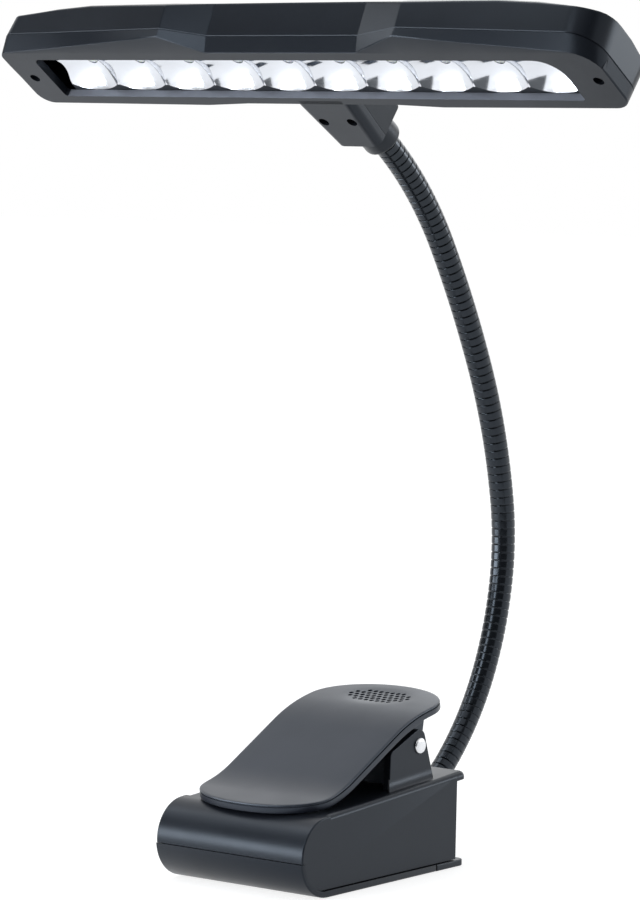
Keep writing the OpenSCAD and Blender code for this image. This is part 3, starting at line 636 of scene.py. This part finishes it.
def makeRearFloor():
    r, half, front = rearPlate, base["half"], door["split"] + door["gap"]
    edge = rounded([(-half, front, 0), (half, front, 0), (half, r["rear"], r["corner"]),
                    (-half, r["rear"], r["corner"])], 10)
    piece = upright("rearFloor", edge, 0, door["plateTop"])
    softenEdges(piece, lambda p: True, r["edge"], 3,
                lambda p, q: abs(p.z - q.z) < near and max(p.y, q.y) > front + near)
    for side in (-1, 1):
        drill(piece, r["holeR"], r["holeDeep"], (side * r["screwX"], r["screwY"], 0.0))
    finishPiece(piece, "casePlastic", "base", ["base_floor"])


makeBaseShell()
makeDoor()
makeRearFloor()
print("base, door and rear floor made")


# clip lever: modelled flat as width and length along the curve, then laid along its side profile
lever = dict(start=(-36.8, 28.4, radians(9.9)),
             runs=[(11, -2.6), (16, 21.2), (25.4, 0), (17.6, -16.6), (19.6, -3.4)],
             half=26.2, front=16.0, power=2.3, tail=16.5, skin=1.8, rim=3.0, steps=900, cutStep=1.5)
# the rim grows thicker to the rear, and is thinner again behind the lugs
swell = dict(since=8.0, until=20.0, by=0.3, thinFrom=24.4, thinBy=0.5, thinOver=0.4, rimFrom=0.88,
             under=1.5, over=1.2)
# pits in staggered rows, in a shallow dish
grip = dict(y=35.3, halfX=12.6, halfY=6.0, pitch=2.4, rowStep=0.866, columns=8, pitR=0.92, pitDeep=1.1,
            lowR=0.8, highR=1.05, sides=10, dishX=15.5, dishS=8.6, dishDeep=0.45, dishFlat=0.2,
            cutHalf=16, cutStep=2)
lug = dict(y=24.0, z=41.8, r=4.4, front=15.6, rear=30.4, inX=20.8, outX=23.4, sunk=1, boreR=1.8,
           boreY=23.85, boreLong=60)
web = dict(front=15, frontZ=29.45, rear=17, rearZ=29.6)
leverLength = sum(length for length, bend in lever["runs"])


def leverAt(s):
    return routeAt(lever["start"], lever["runs"], s)


leverStops = [leverLength * i / lever["steps"] for i in range(lever["steps"] + 1)]
leverTable = [(leverAt(s)[0], s) for s in leverStops]


def leverAlong(y):
    for (y0, s0), (y1, s1) in zip(leverTable, leverTable[1:]):
        if y0 <= y <= y1:
            return s0 + (s1 - s0) * (y - y0) / (y1 - y0)
    return 0.0 if y < leverTable[0][0] else leverLength


def leverTop(y):
    return leverAt(leverAlong(y))[1]


def squareOff(c):
    return copysign(abs(c) ** (2 / lever["power"]), c)


def leverRing(inset, depth, frontSteps=40, tailSteps=36):
    w = lever["half"] - inset
    y0 = lever["start"][0] + lever["front"]
    y1 = leverTable[-1][0] - lever["tail"]
    ring = []
    for i in range(frontSteps + 1):
        t = pi + pi * i / frontSteps
        ring.append((w * squareOff(cos(t)), y0 + (lever["front"] - inset) * squareOff(sin(t))))
    for i in range(tailSteps + 1):
        t = pi * i / tailSteps
        ring.append((w * cos(t), y1 + (lever["tail"] - inset) * sin(t)))
    return [(x, leverAlong(y), -depth) for x, y in ring]


def makePits():
    g = grip
    release()
    pits = []
    rows = int(g["halfY"] / (g["pitch"] * g["rowStep"]))
    for row in range(-rows, rows + 1):
        for column in range(-g["columns"], g["columns"] + 1):
            x = (column - 0.5 * row) * g["pitch"]
            y = row * g["pitch"] * g["rowStep"]
            if (x / g["halfX"]) ** 2 + (y / g["halfY"]) ** 2 > 1:
                continue
            bpy.ops.mesh.primitive_cone_add(vertices=g["sides"], radius1=g["pitR"] * g["lowR"],
                                            radius2=g["pitR"] * g["highR"], depth=2 * g["pitDeep"],
                                            location=(x, leverAlong(g["y"] + y), 0))
            pits.append(bpy.context.object)
            bpy.ops.object.transform_apply(location=True)
    return join(pits)


# cut across every bit of length, and lengthwise under the thumb, and then bent
def layAlong(piece):
    thin, thumb = leverAlong(swell["thinFrom"]), leverAlong(grip["y"])
    cutsAcross = [lever["cutStep"] * (i + 0.5) for i in range(int(leverLength / lever["cutStep"]))]
    bisects = [((0, s, 0), (0, 1, 0)) for s in cutsAcross + [thin, thin + swell["thinOver"]]]
    bisects += [((x, 0, 0), (1, 0, 0)) for x in range(-grip["cutHalf"], grip["cutHalf"] + 1, grip["cutStep"])]
    openEdit(piece)
    for place, normal in bisects:
        bpy.ops.mesh.select_all(action="SELECT")
        bpy.ops.mesh.bisect(plane_co=place, plane_no=normal)
    closeEdit()
    for v in piece.data.vertices:
        x, s, depth = v.co.x, v.co.y, -v.co.z
        y, z, a = leverAt(s)
        behind = max(0, y - leverTable[-1][0] + lever["tail"])
        if depth > swell["under"] and hypot(x / lever["half"], behind / lever["tail"]) > swell["rimFrom"]:
            more = swell["by"] * clamp((y - swell["since"]) / (swell["until"] - swell["since"]))
            more -= swell["thinBy"] * clamp((s - thin) / swell["thinOver"])
            depth += more * min(1, (depth - swell["over"]) / swell["over"])
        r = (x / grip["dishX"]) ** 2 + ((s - thumb) / grip["dishS"]) ** 2
        if r < 1 and depth < swell["under"]:
            t = 1 - max(r, grip["dishFlat"])
            depth += grip["dishDeep"] * t ** 2 * (3 - 2 * t)
        v.co = (x, y + depth * sin(a), z - depth * cos(a))


def makeLever():
    rim = lever["rim"]
    # each ring's inset and depth: over the top edge, through the fine groove, round the rim and up inside it
    steps = [(1.1, 0), (0.4, 0.04), (0.12, 0.16), (0, 0.4), (0, 0.46), (0.42, 0.5), (0.42, 0.94),
             (0, 0.98), (0, 1.05), (0, rim - 0.35), (0.12, rim - 0.1), (0.42, rim), (1.9, rim),
             (2.15, rim - 0.15), (2.2, lever["skin"])]
    piece = loft("clipLever", [leverRing(inset, depth) for inset, depth in steps])
    combine(piece, makePits(), "DIFFERENCE")
    layAlong(piece)
    # lugs on the pin, and a web in front of them
    lugEdge = arc(lug["y"], lug["z"], lug["r"], 180, 360, 16)
    lugEdge += [(y, leverTop(y) - lug["sunk"]) for y in (lug["rear"], lug["front"])]
    for side in (-1, 1):
        combine(piece, across("lug", lugEdge, side * lug["inX"], side * lug["outX"]))
    webEdge = [(web["front"], web["frontZ"]), (web["rear"], web["rearZ"])]
    webEdge += [(y, leverTop(y) - lug["sunk"]) for y in (web["rear"], web["front"])]
    combine(piece, across("web", webEdge, -lug["outX"], lug["outX"]))
    drill(piece, lug["boreR"], lug["boreLong"], (0, lug["boreY"], lug["z"]), (1, 0, 0))
    finishPiece(piece, "leverPlastic", "lever", ["clip_lever"], angle=28, merge=0.004)


makeLever()
print("lever made")


# hinge pin with rolled heads
pin = dict(y=23.7, z=41.8, r=1.5, headR=2.65, headIn=26.42, headOut=27.25, sides=32)


def makePin():
    end, neckX = -pin["headOut"], -pin["headIn"]
    profile = [(end, 1.2), (end + 0.03, 2.2), (end + 0.2, 2.5), (end + 0.45, pin["headR"]),
               (neckX - 0.1, pin["headR"]), (neckX, pin["headR"] - 0.1), (neckX, pin["r"])]
    profile += [(-x, r) for x, r in reversed(profile)]
    rings = [[(x, pin["y"] + r * c, pin["z"] + r * s) for c, s in around(pin["sides"])] for x, r in profile]
    finishPiece(loft("hingePin", rings), "pinSteel", "base", ["hinge_pin"], angle=40)


makePin()


# torsion spring: one wire from the leg on the base round the pin to the leg under the lever
spring = dict(wire=0.7, coil=2.9, turns=7, pitch=2.1, footY=35.0, footUp=0.3, headY=37.0, headDown=0.6,
              perTurn=20, sides=10, hinge=(0.024, 0.0418))


def makeSpring():
    w, coil = spring["wire"], spring["coil"]
    foot = (spring["footY"], topZ(spring["footY"]) + w + spring["footUp"])
    tip = (spring["headY"], leverTop(spring["headY"]) - lever["skin"] - w - spring["headDown"])

    def touching(p, side):
        dy, dz = p[0] - pin["y"], p[1] - pin["z"]
        return atan2(dz, dy) + side * acos(coil / hypot(dy, dz))
    a0, a1 = touching(foot, -1), touching(tip, 1)
    turn = tau * spring["turns"] + a1 - a0
    x0 = -spring["pitch"] * turn / (2 * tau)
    count = int(turn / tau * spring["perTurn"])
    points = []
    for i in range(count + 1):
        a = a0 + turn * i / count
        x = x0 + spring["pitch"] * (a - a0) / tau
        points.append(((x, pin["y"] + coil * cos(a), pin["z"] + coil * sin(a)), a))
    points.insert(0, ((points[0][0][0], *foot), a0))
    points.append(((points[-1][0][0], *tip), a1))
    rings = []
    for i, (p, a) in enumerate(points):
        before, after = Vector(points[max(0, i - 1)][0]), Vector(points[min(len(points) - 1, i + 1)][0])
        along = (after - before).normalized()
        side = along.cross(Vector((0, cos(a), sin(a)))).normalized()
        out = side.cross(along)
        rings.append([Vector(p) + w * (c * out + s * side) for c, s in around(spring["sides"])])
    piece = finishPiece(loft("torsionSpring", rings), "springSteel", angle=50)
    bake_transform(piece)
    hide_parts("torsion_spring")


makeSpring()
print("pin and spring made")


# gooseneck: five ribbed lengths, each bent across its own joint
neck = dict(start=(30.3, 15.6, 0.0), lead=12.0, root=(32.3, 45.6), flex=48.0,
            bends=[23, 29.5, 14.4, 7.9, 22.6], tail=14.0, r=3.75, groove=3.48, bore=2.1, pitch=48 / 17,
            sides=32, turnIn=20.0, firstRibs=24, lastRibs=30, sway=1.2, swayFrom=14, swayLong=96)
neckRuns = [(neck["lead"], 0), neck["root"]]
neckRuns += [(neck["flex"], bend) for bend in neck["bends"]] + [(neck["tail"], 0)]
pivots = [neck["lead"] + neck["root"][0] + k * neck["flex"] for k in range(5)]
cuts = [p + neck["flex"] / 2 for p in pivots[:4]]
cuts = [cuts[0] - neck["firstRibs"] * neck["pitch"]] + cuts + [cuts[3] + neck["lastRibs"] * neck["pitch"]]
# the ribs grow a little from the base to the head, and are drawn in again inside the collar
neckGrowth = [(-10, 1.0), (20, 1.0), (90, 1.07), (150, 1.1), (230, 1.13),
              (283.4, 1.17), (284.4, 1.0), (310, 1.0)]


def neckPoint(s, x=0.0, out=0.0):
    y, z, a = routeAt(neck["start"], neckRuns, s)
    swayed = (s - neck["swayFrom"]) / neck["swayLong"]
    if 0 < swayed < 1:
        y += neck["sway"] * sin(pi * swayed) ** 2
    return (x, y - out * sin(a), z + out * cos(a))


def bendAcross(piece, k):
    ends = [neckPoint(pivots[k] + d) for d in (-neck["turnIn"], neck["turnIn"])]
    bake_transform(piece)


def straightTube(name, profile, count):
    rings = [[(r * c, r * d, s) for c, d in around(neck["sides"])] for s, r in profile]
    return repeat(loft(name, rings, False, False), count, (0, 0, profile[-1][0]))


def makeNeckLength(k):
    p, groove = neck["pitch"], neck["groove"]
    flank = [(0, groove), (0.1, groove + 0.03), (0.18, 3.65), (0.32, 3.735)]
    rib = flank + [(p / 2, neck["r"])] + [(p - s, r) for s, r in reversed(flank)]
    count = round((cuts[k + 1] - cuts[k]) / p)
    piece = straightTube("gooseneck%d" % (k + 1), rib, count)
    piece = join([piece, straightTube("bore", [(0, neck["bore"]), (p, neck["bore"])], count)])
    for end in (0, count * p):
        pick(piece, "EDGE", lambda e: all(abs(piece.data.vertices[i].co.z - end) < 0.001 for i in e.vertices))
        bpy.ops.mesh.bridge_edge_loops()
        closeEdit()
    mendNormals(piece)
    for v in piece.data.vertices:
        a = atan2(v.co.y, v.co.x) % tau
        s = cuts[k] + v.co.z
        r = hypot(v.co.x, v.co.y)
        if r > neck["bore"] + near:
            r *= lookUp(s, neckGrowth)
        v.co = neckPoint(s, r * cos(a), r * sin(a))
    finishPiece(piece, "neckPaint", angle=25)
    bendAcross(piece, k)
    return piece


neckLengths = [makeNeckLength(k) for k in range(5)]
for k, piece in enumerate(neckLengths):
    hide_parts(*(["gooseneck_1", "gooseneck_2"] if k == 0 else ["gooseneck_%d" % (k + 2)]))

# the lead follows the same route, in lengths cut where the gooseneck's are and curved the same way
lead = dict(first=-13.0, last=317.6, r=1.2, sides=10, step=3, least=6)


def makeLeadLength(k):
    first, last = ([lead["first"]] + cuts[1:5] + [lead["last"]])[k:k + 2]
    count = max(lead["least"], int((last - first) / lead["step"]))
    along = [first + (last - first) * i / count for i in range(count + 1)]
    rings = [[neckPoint(s, lead["r"] * c, lead["r"] * d) for c, d in around(lead["sides"])] for s in along]
    piece = finishPiece(loft("lampLead%d" % (k + 1), rings), "leadSleeve", angle=60)
    bendAcross(piece, k)
    return piece


leads = [makeLeadLength(k) for k in range(5)]
for piece in leads:
    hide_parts("lamp_lead")
print("gooseneck made in", len(neckLengths), "lengths")


# head: x along it, v from its front edge to its back, w up from its underside
# ledgeMid, ledgeHalf and ledgeNear pick out the window's far wall, which is painted paler as painted bounce
# light
head = dict(place=(0, -16.544, 268.38), tilt=-37.0, split=4.75, nearL=3.2, nearR=11.0, farR=6.5,
            endV=(8.0, 15.0), plateT=2.7, windowX=(-111.0, 107.3), windowV=(4.15, 24.5),
            windowR=(2.6, 9.0, 1.0, 1.5), draft=0.04, screwX=117.9, screwV=14.4, neckScrewX=5.9,
            neckScrewV=37.6, holeR=1.85, holeDeep=12, axisW=9.3, roomX=(-115, 115), roomV=(2, 26.6),
            roomTop=8, ledgeMid=-1.8, ledgeHalf=108.6, ledgeNear=0.3)
# the neck block behind the head, and the bores along its axis
block = dict(wide=11.8, narrow=9.0, root=26.0, tip=51.0, top=17.6, lowEdge=2.8, topEdge=2.0,
             longEdge=5, foot=0.1)
bores = dict(neck=dict(r=4.0, deep=18, v=54, sides=32), collar=dict(r=6.7, deep=10.2, v=51, sides=40),
             lead=dict(r=1.6, deep=30, v=36, sides=20))
headTurn = Matrix.Translation(head["place"]) @ Matrix.Rotation(radians(head["tilt"]), 4, "X")
toHead = (Matrix.Scale(toMetres, 4) @ headTurn).inverted()
stations = [-100, -85, -68, -49.7, -49.3, -48.9, -31.9, -31.5, -31.1, 0, 31.1, 31.5, 31.9,
            48.9, 49.3, 49.7, 68, 85, 100]
# edges along the head, the same on its left and right
partFront = [(0, -2.5), (31.5, -2.5), (49.3, -6.6), (113, -4.0), (124, -4.0)]
lowFront = [(0, 0.0), (31.5, 0.0), (49.3, -6.5), (118, 0.0), (124, 0.0)]
lowRise = [(0, 0.0), (31.5, 0.0), (49.3, 1.6), (118, 0.0), (124, 0.0)]
backEdge = [(0, 28.2), (31.5, 28.2), (49.3, 29.3), (113, 28.8), (124, 28.8)]
crownFront = [(0, -5.2), (31.5, -5.2), (49.3, -8.6), (113, -5.6), (124, -5.6)]
# the roof's height across the head, and how far it drops along it
roofAcross = [(-8.6, 12.9), (-5.2, 16.0), (0, 18.2), (6, 19.2), (12, 19.4), (20, 18.8),
              (26, 17.0), (29.7, 15.0)]
roofDrop = [(-124, 5.6), (-118, 4.4), (-106, 2.6), (-94, 1.0), (-82, 0.1), (-40, -0.2), (0, -0.4), (80, -0.6),
            (92, -0.3), (104, 0.9), (112, 1.8), (118, 2.5), (124, 3.2)]


def between(x, table):
    return lookUp(abs(x), table)


def eased(x, table, by=0.25):
    return (between(x - by, table) + 2 * between(x, table) + between(x + by, table)) / 4


def flat(value):
    return lambda x, v=0: value


def edged(table, move=0.0):
    return lambda x, v=0: eased(x, table) + move


def onHead(piece):
    piece.data.transform(headTurn)
    return piece


# one ring round the head, from the middle of its left end along the front and home along the back
def headRing(left, right, frontV, frontW, backV, backW, nearL, nearR, farR, turnSteps=7):
    quarter = [pi / 2 * k / turnSteps for k in range(turnSteps + 1)]
    vl, vr, vb = frontV(nearL - left), frontV(right - nearR), backV(right - farR)
    endFront, endBack = head["endV"]
    front = [(-left, endFront)]
    front += [(-left + nearL - nearL * cos(t), vl + nearL - nearL * sin(t)) for t in quarter]
    front += [(x, frontV(x)) for x in stations]
    front += [(right - nearR + nearR * sin(t), vr + nearR - nearR * cos(t)) for t in quarter]
    rear = [(right - farR + farR * cos(t), vb - farR + farR * sin(t)) for t in quarter]
    rear += [(x, backV(x)) for x in reversed(stations)]
    rear += [(-left + farR - farR * sin(t), vb - farR + farR * cos(t)) for t in quarter]
    front, rear = front + [(right, endFront)], [(right, endBack)] + rear + [(-left, endBack)]
    return [(x, v, frontW(x, v)) for x, v in front] + [(x, v, backW(x, v)) for x, v in rear]


# the window's far wall leans outwards below
def windowEdge(w):
    (x0, x1), (v0, v1) = head["windowX"], head["windowV"]
    v1 -= head["draft"] * w
    corners = zip([(x0, v0), (x1, v0), (x1, v1), (x0, v1)], head["windowR"])
    return [(a, b, w) for a, b in rounded([(x, v, r) for (x, v), r in corners], 8)]


def makeBlock(name, w0, w1):
    wide, narrow, root, tip = (block[part] for part in ("wide", "narrow", "root", "tip"))
    return upright(name, [(-wide, root), (wide, root), (narrow, tip), (-narrow, tip)], w0, w1)


def boreAxis(piece, *names):
    for bore in (bores[name] for name in names):
        drill(piece, bore["r"], bore["deep"], (0, bore["v"], head["axisW"]), (0, 1, 0), bore["sides"])


def makeBezel():
    h = head
    low, high, corners = flat(h["split"] - 0.15), flat(h["split"]), (h["nearL"], h["nearR"], h["farR"])
    # left and right end, front edge and its height, back edge and its height, corner radii
    rings = [
        headRing(124.0, 122.6, flat(0.55), flat(0.0), lambda x: between(x, backEdge) - 0.5, flat(0.0),
                 3.0, 10.0, 5.5),
        headRing(124.3, 122.8, edged(lowFront, 0.3), edged(lowRise), edged(backEdge, -0.3), flat(0.2),
                 3.1, 10.2, 5.6),
        headRing(124.3, 123.0, edged(lowFront, -0.02), edged(lowRise, 0.32), edged(backEdge, -0.1), flat(0.5),
                 3.2, 10.4, 5.8),
        headRing(121.6, 123.4, edged(partFront), low, edged(backEdge), low, *corners),
        headRing(121.3, 123.2, edged(partFront, 0.2), high, edged(backEdge, -0.2), high, *corners),
    ]
    piece = loft("headBezel", rings)
    tongue = makeBlock("tongue", 0, h["split"])
    softenEdges(tongue, lambda p: p.z < near, block["lowEdge"], 6,
                lambda p, q: sameSide(p, q) and abs(p.y - q.y) > block["longEdge"])
    combine(piece, tongue)
    combine(piece, loft("window", [windowEdge(-1.0), windowEdge(h["plateT"] + 1)]), "DIFFERENCE")
    lowRoom = upright("roomBelow", rectangle(h["roomX"], h["roomV"]), h["plateT"], h["roomTop"])
    combine(piece, lowRoom, "DIFFERENCE")
    for side in (-1, 1):
        drill(piece, h["holeR"], h["holeDeep"], (side * h["screwX"], h["screwV"], 0))
        drill(piece, h["holeR"], h["holeDeep"], (side * h["neckScrewX"], h["neckScrewV"], 0))
    boreAxis(piece, "neck", "collar")
    finishPiece(onHead(piece), "bezelPlastic", "head", ["head_bezel"], angle=22, even=True)
    # the window's far wall is painted paler: a painted bounce light from the reflector cups, on those faces
    # only
    piece.data.materials.append(paint["ledgePaintedLight"])
    for f in piece.data.polygons:
        x, v, w = toHead @ f.center
        facing = (headTurn.to_3x3().inverted() @ f.normal).y
        inWindow = abs(x - h["ledgeMid"]) < h["ledgeHalf"] and 0 < w < h["plateT"]
        if inWindow and abs(v - h["windowV"][1]) < h["ledgeNear"] and facing < -0.9:
            f.material_index = 1


cover = dict(footEnds=(121.3, 123.2), wallEnds=(121.5, 123.4), crownEnds=(119.4, 123.2), foot=0.08, wall=0.38,
             footIn=0.3, crownOut=0.4, shoulder=0.92, overEdge=0.7, inwards=0.2, ridge=112.0, skin=2.0,
             roofSteps=(0.06, 0.16, 0.28, 0.42, 0.6, 0.8, 1.0))


# rings up the cover's walls, over its top edge and inwards over the roof to its middle line
def coverRings(inset=0.0):
    c = cover
    corners = [head[name] - inset * 0.5 for name in ("nearL", "nearR", "farR")]

    def ends(name):
        return [x - inset for x in c[name]]

    def roof(x, v):
        return lookUp(v, roofAcross) - lookUp(x, roofDrop) - inset
    foot, wall = (flat(head["split"] + c[name] - inset) for name in ("foot", "wall"))
    rings = [headRing(*ends("footEnds"), edged(partFront, inset + c["footIn"]), foot,
                      edged(backEdge, -inset - c["footIn"]), foot, *corners),
             headRing(*ends("wallEnds"), edged(partFront, inset), wall, edged(backEdge, -inset), wall,
                      *corners)]
    upper = headRing(*ends("crownEnds"), edged(crownFront, inset), roof,
                     edged(backEdge, c["crownOut"] - inset), roof, *corners)
    count = len(upper)

    def roofPoint(i, t):
        edge, other = upper[i], upper[count - 1 - i]
        middle = max(-c["ridge"], min(c["ridge"], (edge[0] + other[0]) / 2))
        x = edge[0] + (middle - edge[0]) * t
        v = edge[1] + (other[1] - edge[1]) * t / 2
        return Vector((x, v, roof(x, v)))
    sides = [Vector(a).lerp(Vector(b), c["shoulder"]) for a, b in zip(rings[1], upper)]
    rings.append([tuple(p) for p in sides])
    rings.append([tuple(p.lerp(Vector(u), c["overEdge"]).lerp(roofPoint(i, c["roofSteps"][0]), c["inwards"]))
                  for i, (p, u) in enumerate(zip(sides, upper))])
    for t in c["roofSteps"]:
        rings.append([tuple(roofPoint(i, t)) for i in range(count)])
    return rings


def makeCover():
    piece = weld(loft("headCover", coverRings(), True, False), 0.01)
    top = makeBlock("blockTop", head["split"] + block["foot"], block["top"])
    softenEdges(top, lambda p: p.z > block["top"] - near, block["topEdge"], 5,
                lambda p, q: max(p.y, q.y) > block["root"] + near)
    combine(piece, top)
    combine(piece, weld(loft("hollow", coverRings(cover["skin"]), True, False), 0.01), "DIFFERENCE")
    boreAxis(piece, "neck", "collar", "lead")
    finishPiece(onHead(piece), "coverPlastic", "head", ["head_cover"], angle=22, even=True)


makeBezel()
makeCover()
print("head shells made")


collar = dict(v0=46.1, v1=60.0, r=6.6, bore=4.65, sides=40)


def makeCollar():
    v0, v1, r0, bore = (collar[name] for name in ("v0", "v1", "r", "bore"))
    profile = [(v0, bore), (v0, r0 - 0.3), (v0 + 0.3, r0), (v1 - 1.1, r0), (v1 - 0.5, r0 - 0.12),
               (v1 - 0.15, r0 - 0.45), (v1, r0 - 0.95), (v1, bore + 0.35), (v1 - 0.3, bore)]
    rings = [[(r * c, v, head["axisW"] + r * s) for c, s in around(collar["sides"])] for v, r in profile]
    piece = loft("neckCollar", rings, False, False)
    openEdit(piece, False, "EDGE")
    bpy.ops.mesh.select_non_manifold()
    bpy.ops.mesh.bridge_edge_loops()
    closeEdit()
    finishPiece(onHead(piece), "collarPlastic", "head", ["neck_collar"])


makeCollar()

# reflector: one cup drawn in rings and repeated along the strip
cups = dict(count=10, pitch=21.54, along=14.4, across=9.9, deep=6.0, midV=14.4, low=2.78, v1=25.2, lampR=2.55,
            skin=0.5, sides=64, apart=0.02,
            rings=(1.0, 0.95, 0.88, 0.78, 0.66, 0.54, 0.42, 0.3, 0.18, 0.08, 0.0))


def makeReflector():
    c = cups
    circle = [tau * k / c["sides"] for k in range(c["sides"])]

    def toTile(t):
        return min(c["pitch"] / 2 / max(1e-6, abs(cos(t))), (c["v1"] - c["midV"]) / max(1e-6, abs(sin(t))))

    def toRim(t):
        return 1 / hypot(cos(t) / c["along"], sin(t) / c["across"])

    def at(t, r):
        return (r * cos(t), c["midV"] + r * sin(t), c["low"] + c["deep"] * max(0, 1 - (r / toRim(t)) ** 2))
    # where the tile is narrower than the cup, the cup runs on into the next one
    rings = [[at(t, toTile(t)) for t in circle]]
    edge = [min(toRim(t), toTile(t) - c["apart"]) for t in circle]
    for part in c["rings"]:
        rings.append([at(t, c["lampR"] + (r - c["lampR"]) * part) for t, r in zip(circle, edge)])
    piece = repeat(loft("reflectorStrip", rings, False, False), c["count"], (c["pitch"], 0, 0))
    piece.data.transform(Matrix.Translation((-c["pitch"] * (c["count"] - 1) / 2, 0, 0)))
    mendNormals(piece)
    down = sum(1 if f.normal.z < 0 else -1 for f in piece.data.polygons)
    modify(piece, "SOLIDIFY", thickness=c["skin"], offset=-1 if down > 0 else 1)
    finishPiece(onHead(piece), "reflectorCoat", "head", ["reflector_strip"], angle=30)
    # the bits of web between the cups stay black
    piece.data.materials.append(paint["innerPlastic"])
    for f in piece.data.polygons:
        if all(abs((toHead @ piece.data.vertices[i].co).z - c["low"]) < c["apart"] for i in f.vertices):
            f.material_index = 1


dome = dict(sides=20,
            profile=[(9.4, 2.5), (8.76, 2.5), (8.62, 2.42), (8.52, 2.15), (8.43, 1.6),
                     (8.37, 0.9), (8.35, 0.3)])


def makeLamps():
    made = []
    for k in range(cups["count"]):
        x0 = cups["pitch"] * (k - (cups["count"] - 1) / 2)
        rings = [[(x0 + r * c, cups["midV"] + r * s, w) for c, s in around(dome["sides"])]
                 for w, r in dome["profile"]]
        piece = onHead(loft("lampDome%d" % (k + 1), rings))
        made.append(finishPiece(piece, "ledLens", "head", [], angle=40))
    for piece in made:
        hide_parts("leds")
    return made


makeReflector()
lampDomes = makeLamps()
print("reflector and", len(lampDomes), "lamps made")

# switch knob on the left panel
knob = dict(y=19.675, z=10.0, long=7.0, high=5.0, outX=-31.6, inX=-30.55, ridges=5, ridgePitch=1.4,
            ridgeDeep=0.45, edge=0.25, stemX=(-31.2, -27.2), stemY=(18.2, 21.15), stemZ=(9.1, 10.9))


def makeKnob():
    outer, half, up = knob["outX"], knob["long"] / 2, knob["high"] / 2
    root = outer + knob["ridgeDeep"]
    edge = [(knob["inX"], knob["y"] - half), (knob["inX"], knob["y"] + half)]
    for i in range(knob["ridges"]):
        top = knob["y"] + half - knob["ridgePitch"] * i
        edge += [(root, top), (outer, top - 0.35), (outer, top - 0.9), (root, top - 1.25)]
    edge[-1] = (root, knob["y"] - half)
    piece = upright("switchKnob", edge, knob["z"] - up, knob["z"] + up)
    softenEdges(piece, lambda p: p.x < root + near and abs(p.z - knob["z"]) > up - near, knob["edge"], 2,
                lambda p, q: abs(p.z - q.z) < near)
    combine(piece, upright("stem", rectangle(knob["stemX"], knob["stemY"]), *knob["stemZ"]))
    finishPiece(piece, "knobPlastic", "knob", ["switch_knob"])


makeKnob()

# the solids that keep their own shape take a finish
plainNodes = {
    "floor_screws": "screwSteel", "neck_screws": "screwSteel", "head_screws": "screwSteel",
    "battery_tray": "innerPlastic", "switch_body": "innerPlastic", "neck_socket": "innerPlastic",
    "battery_1": "cellSleeve", "battery_2": "cellSleeve", "battery_3": "cellSleeve",
    "contact_springs": "contactSteel", "contact_plates": "contactSteel",
    "driver_board": "boardMask", "led_board": "boardMask", "jaw_pad": "padRubber",
}
for name, finish in plainNodes.items():
    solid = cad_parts[name]
    solid.data.materials.clear()
    solid.data.materials.append(paint[finish])
print("plain solids finished:", len(plainNodes))
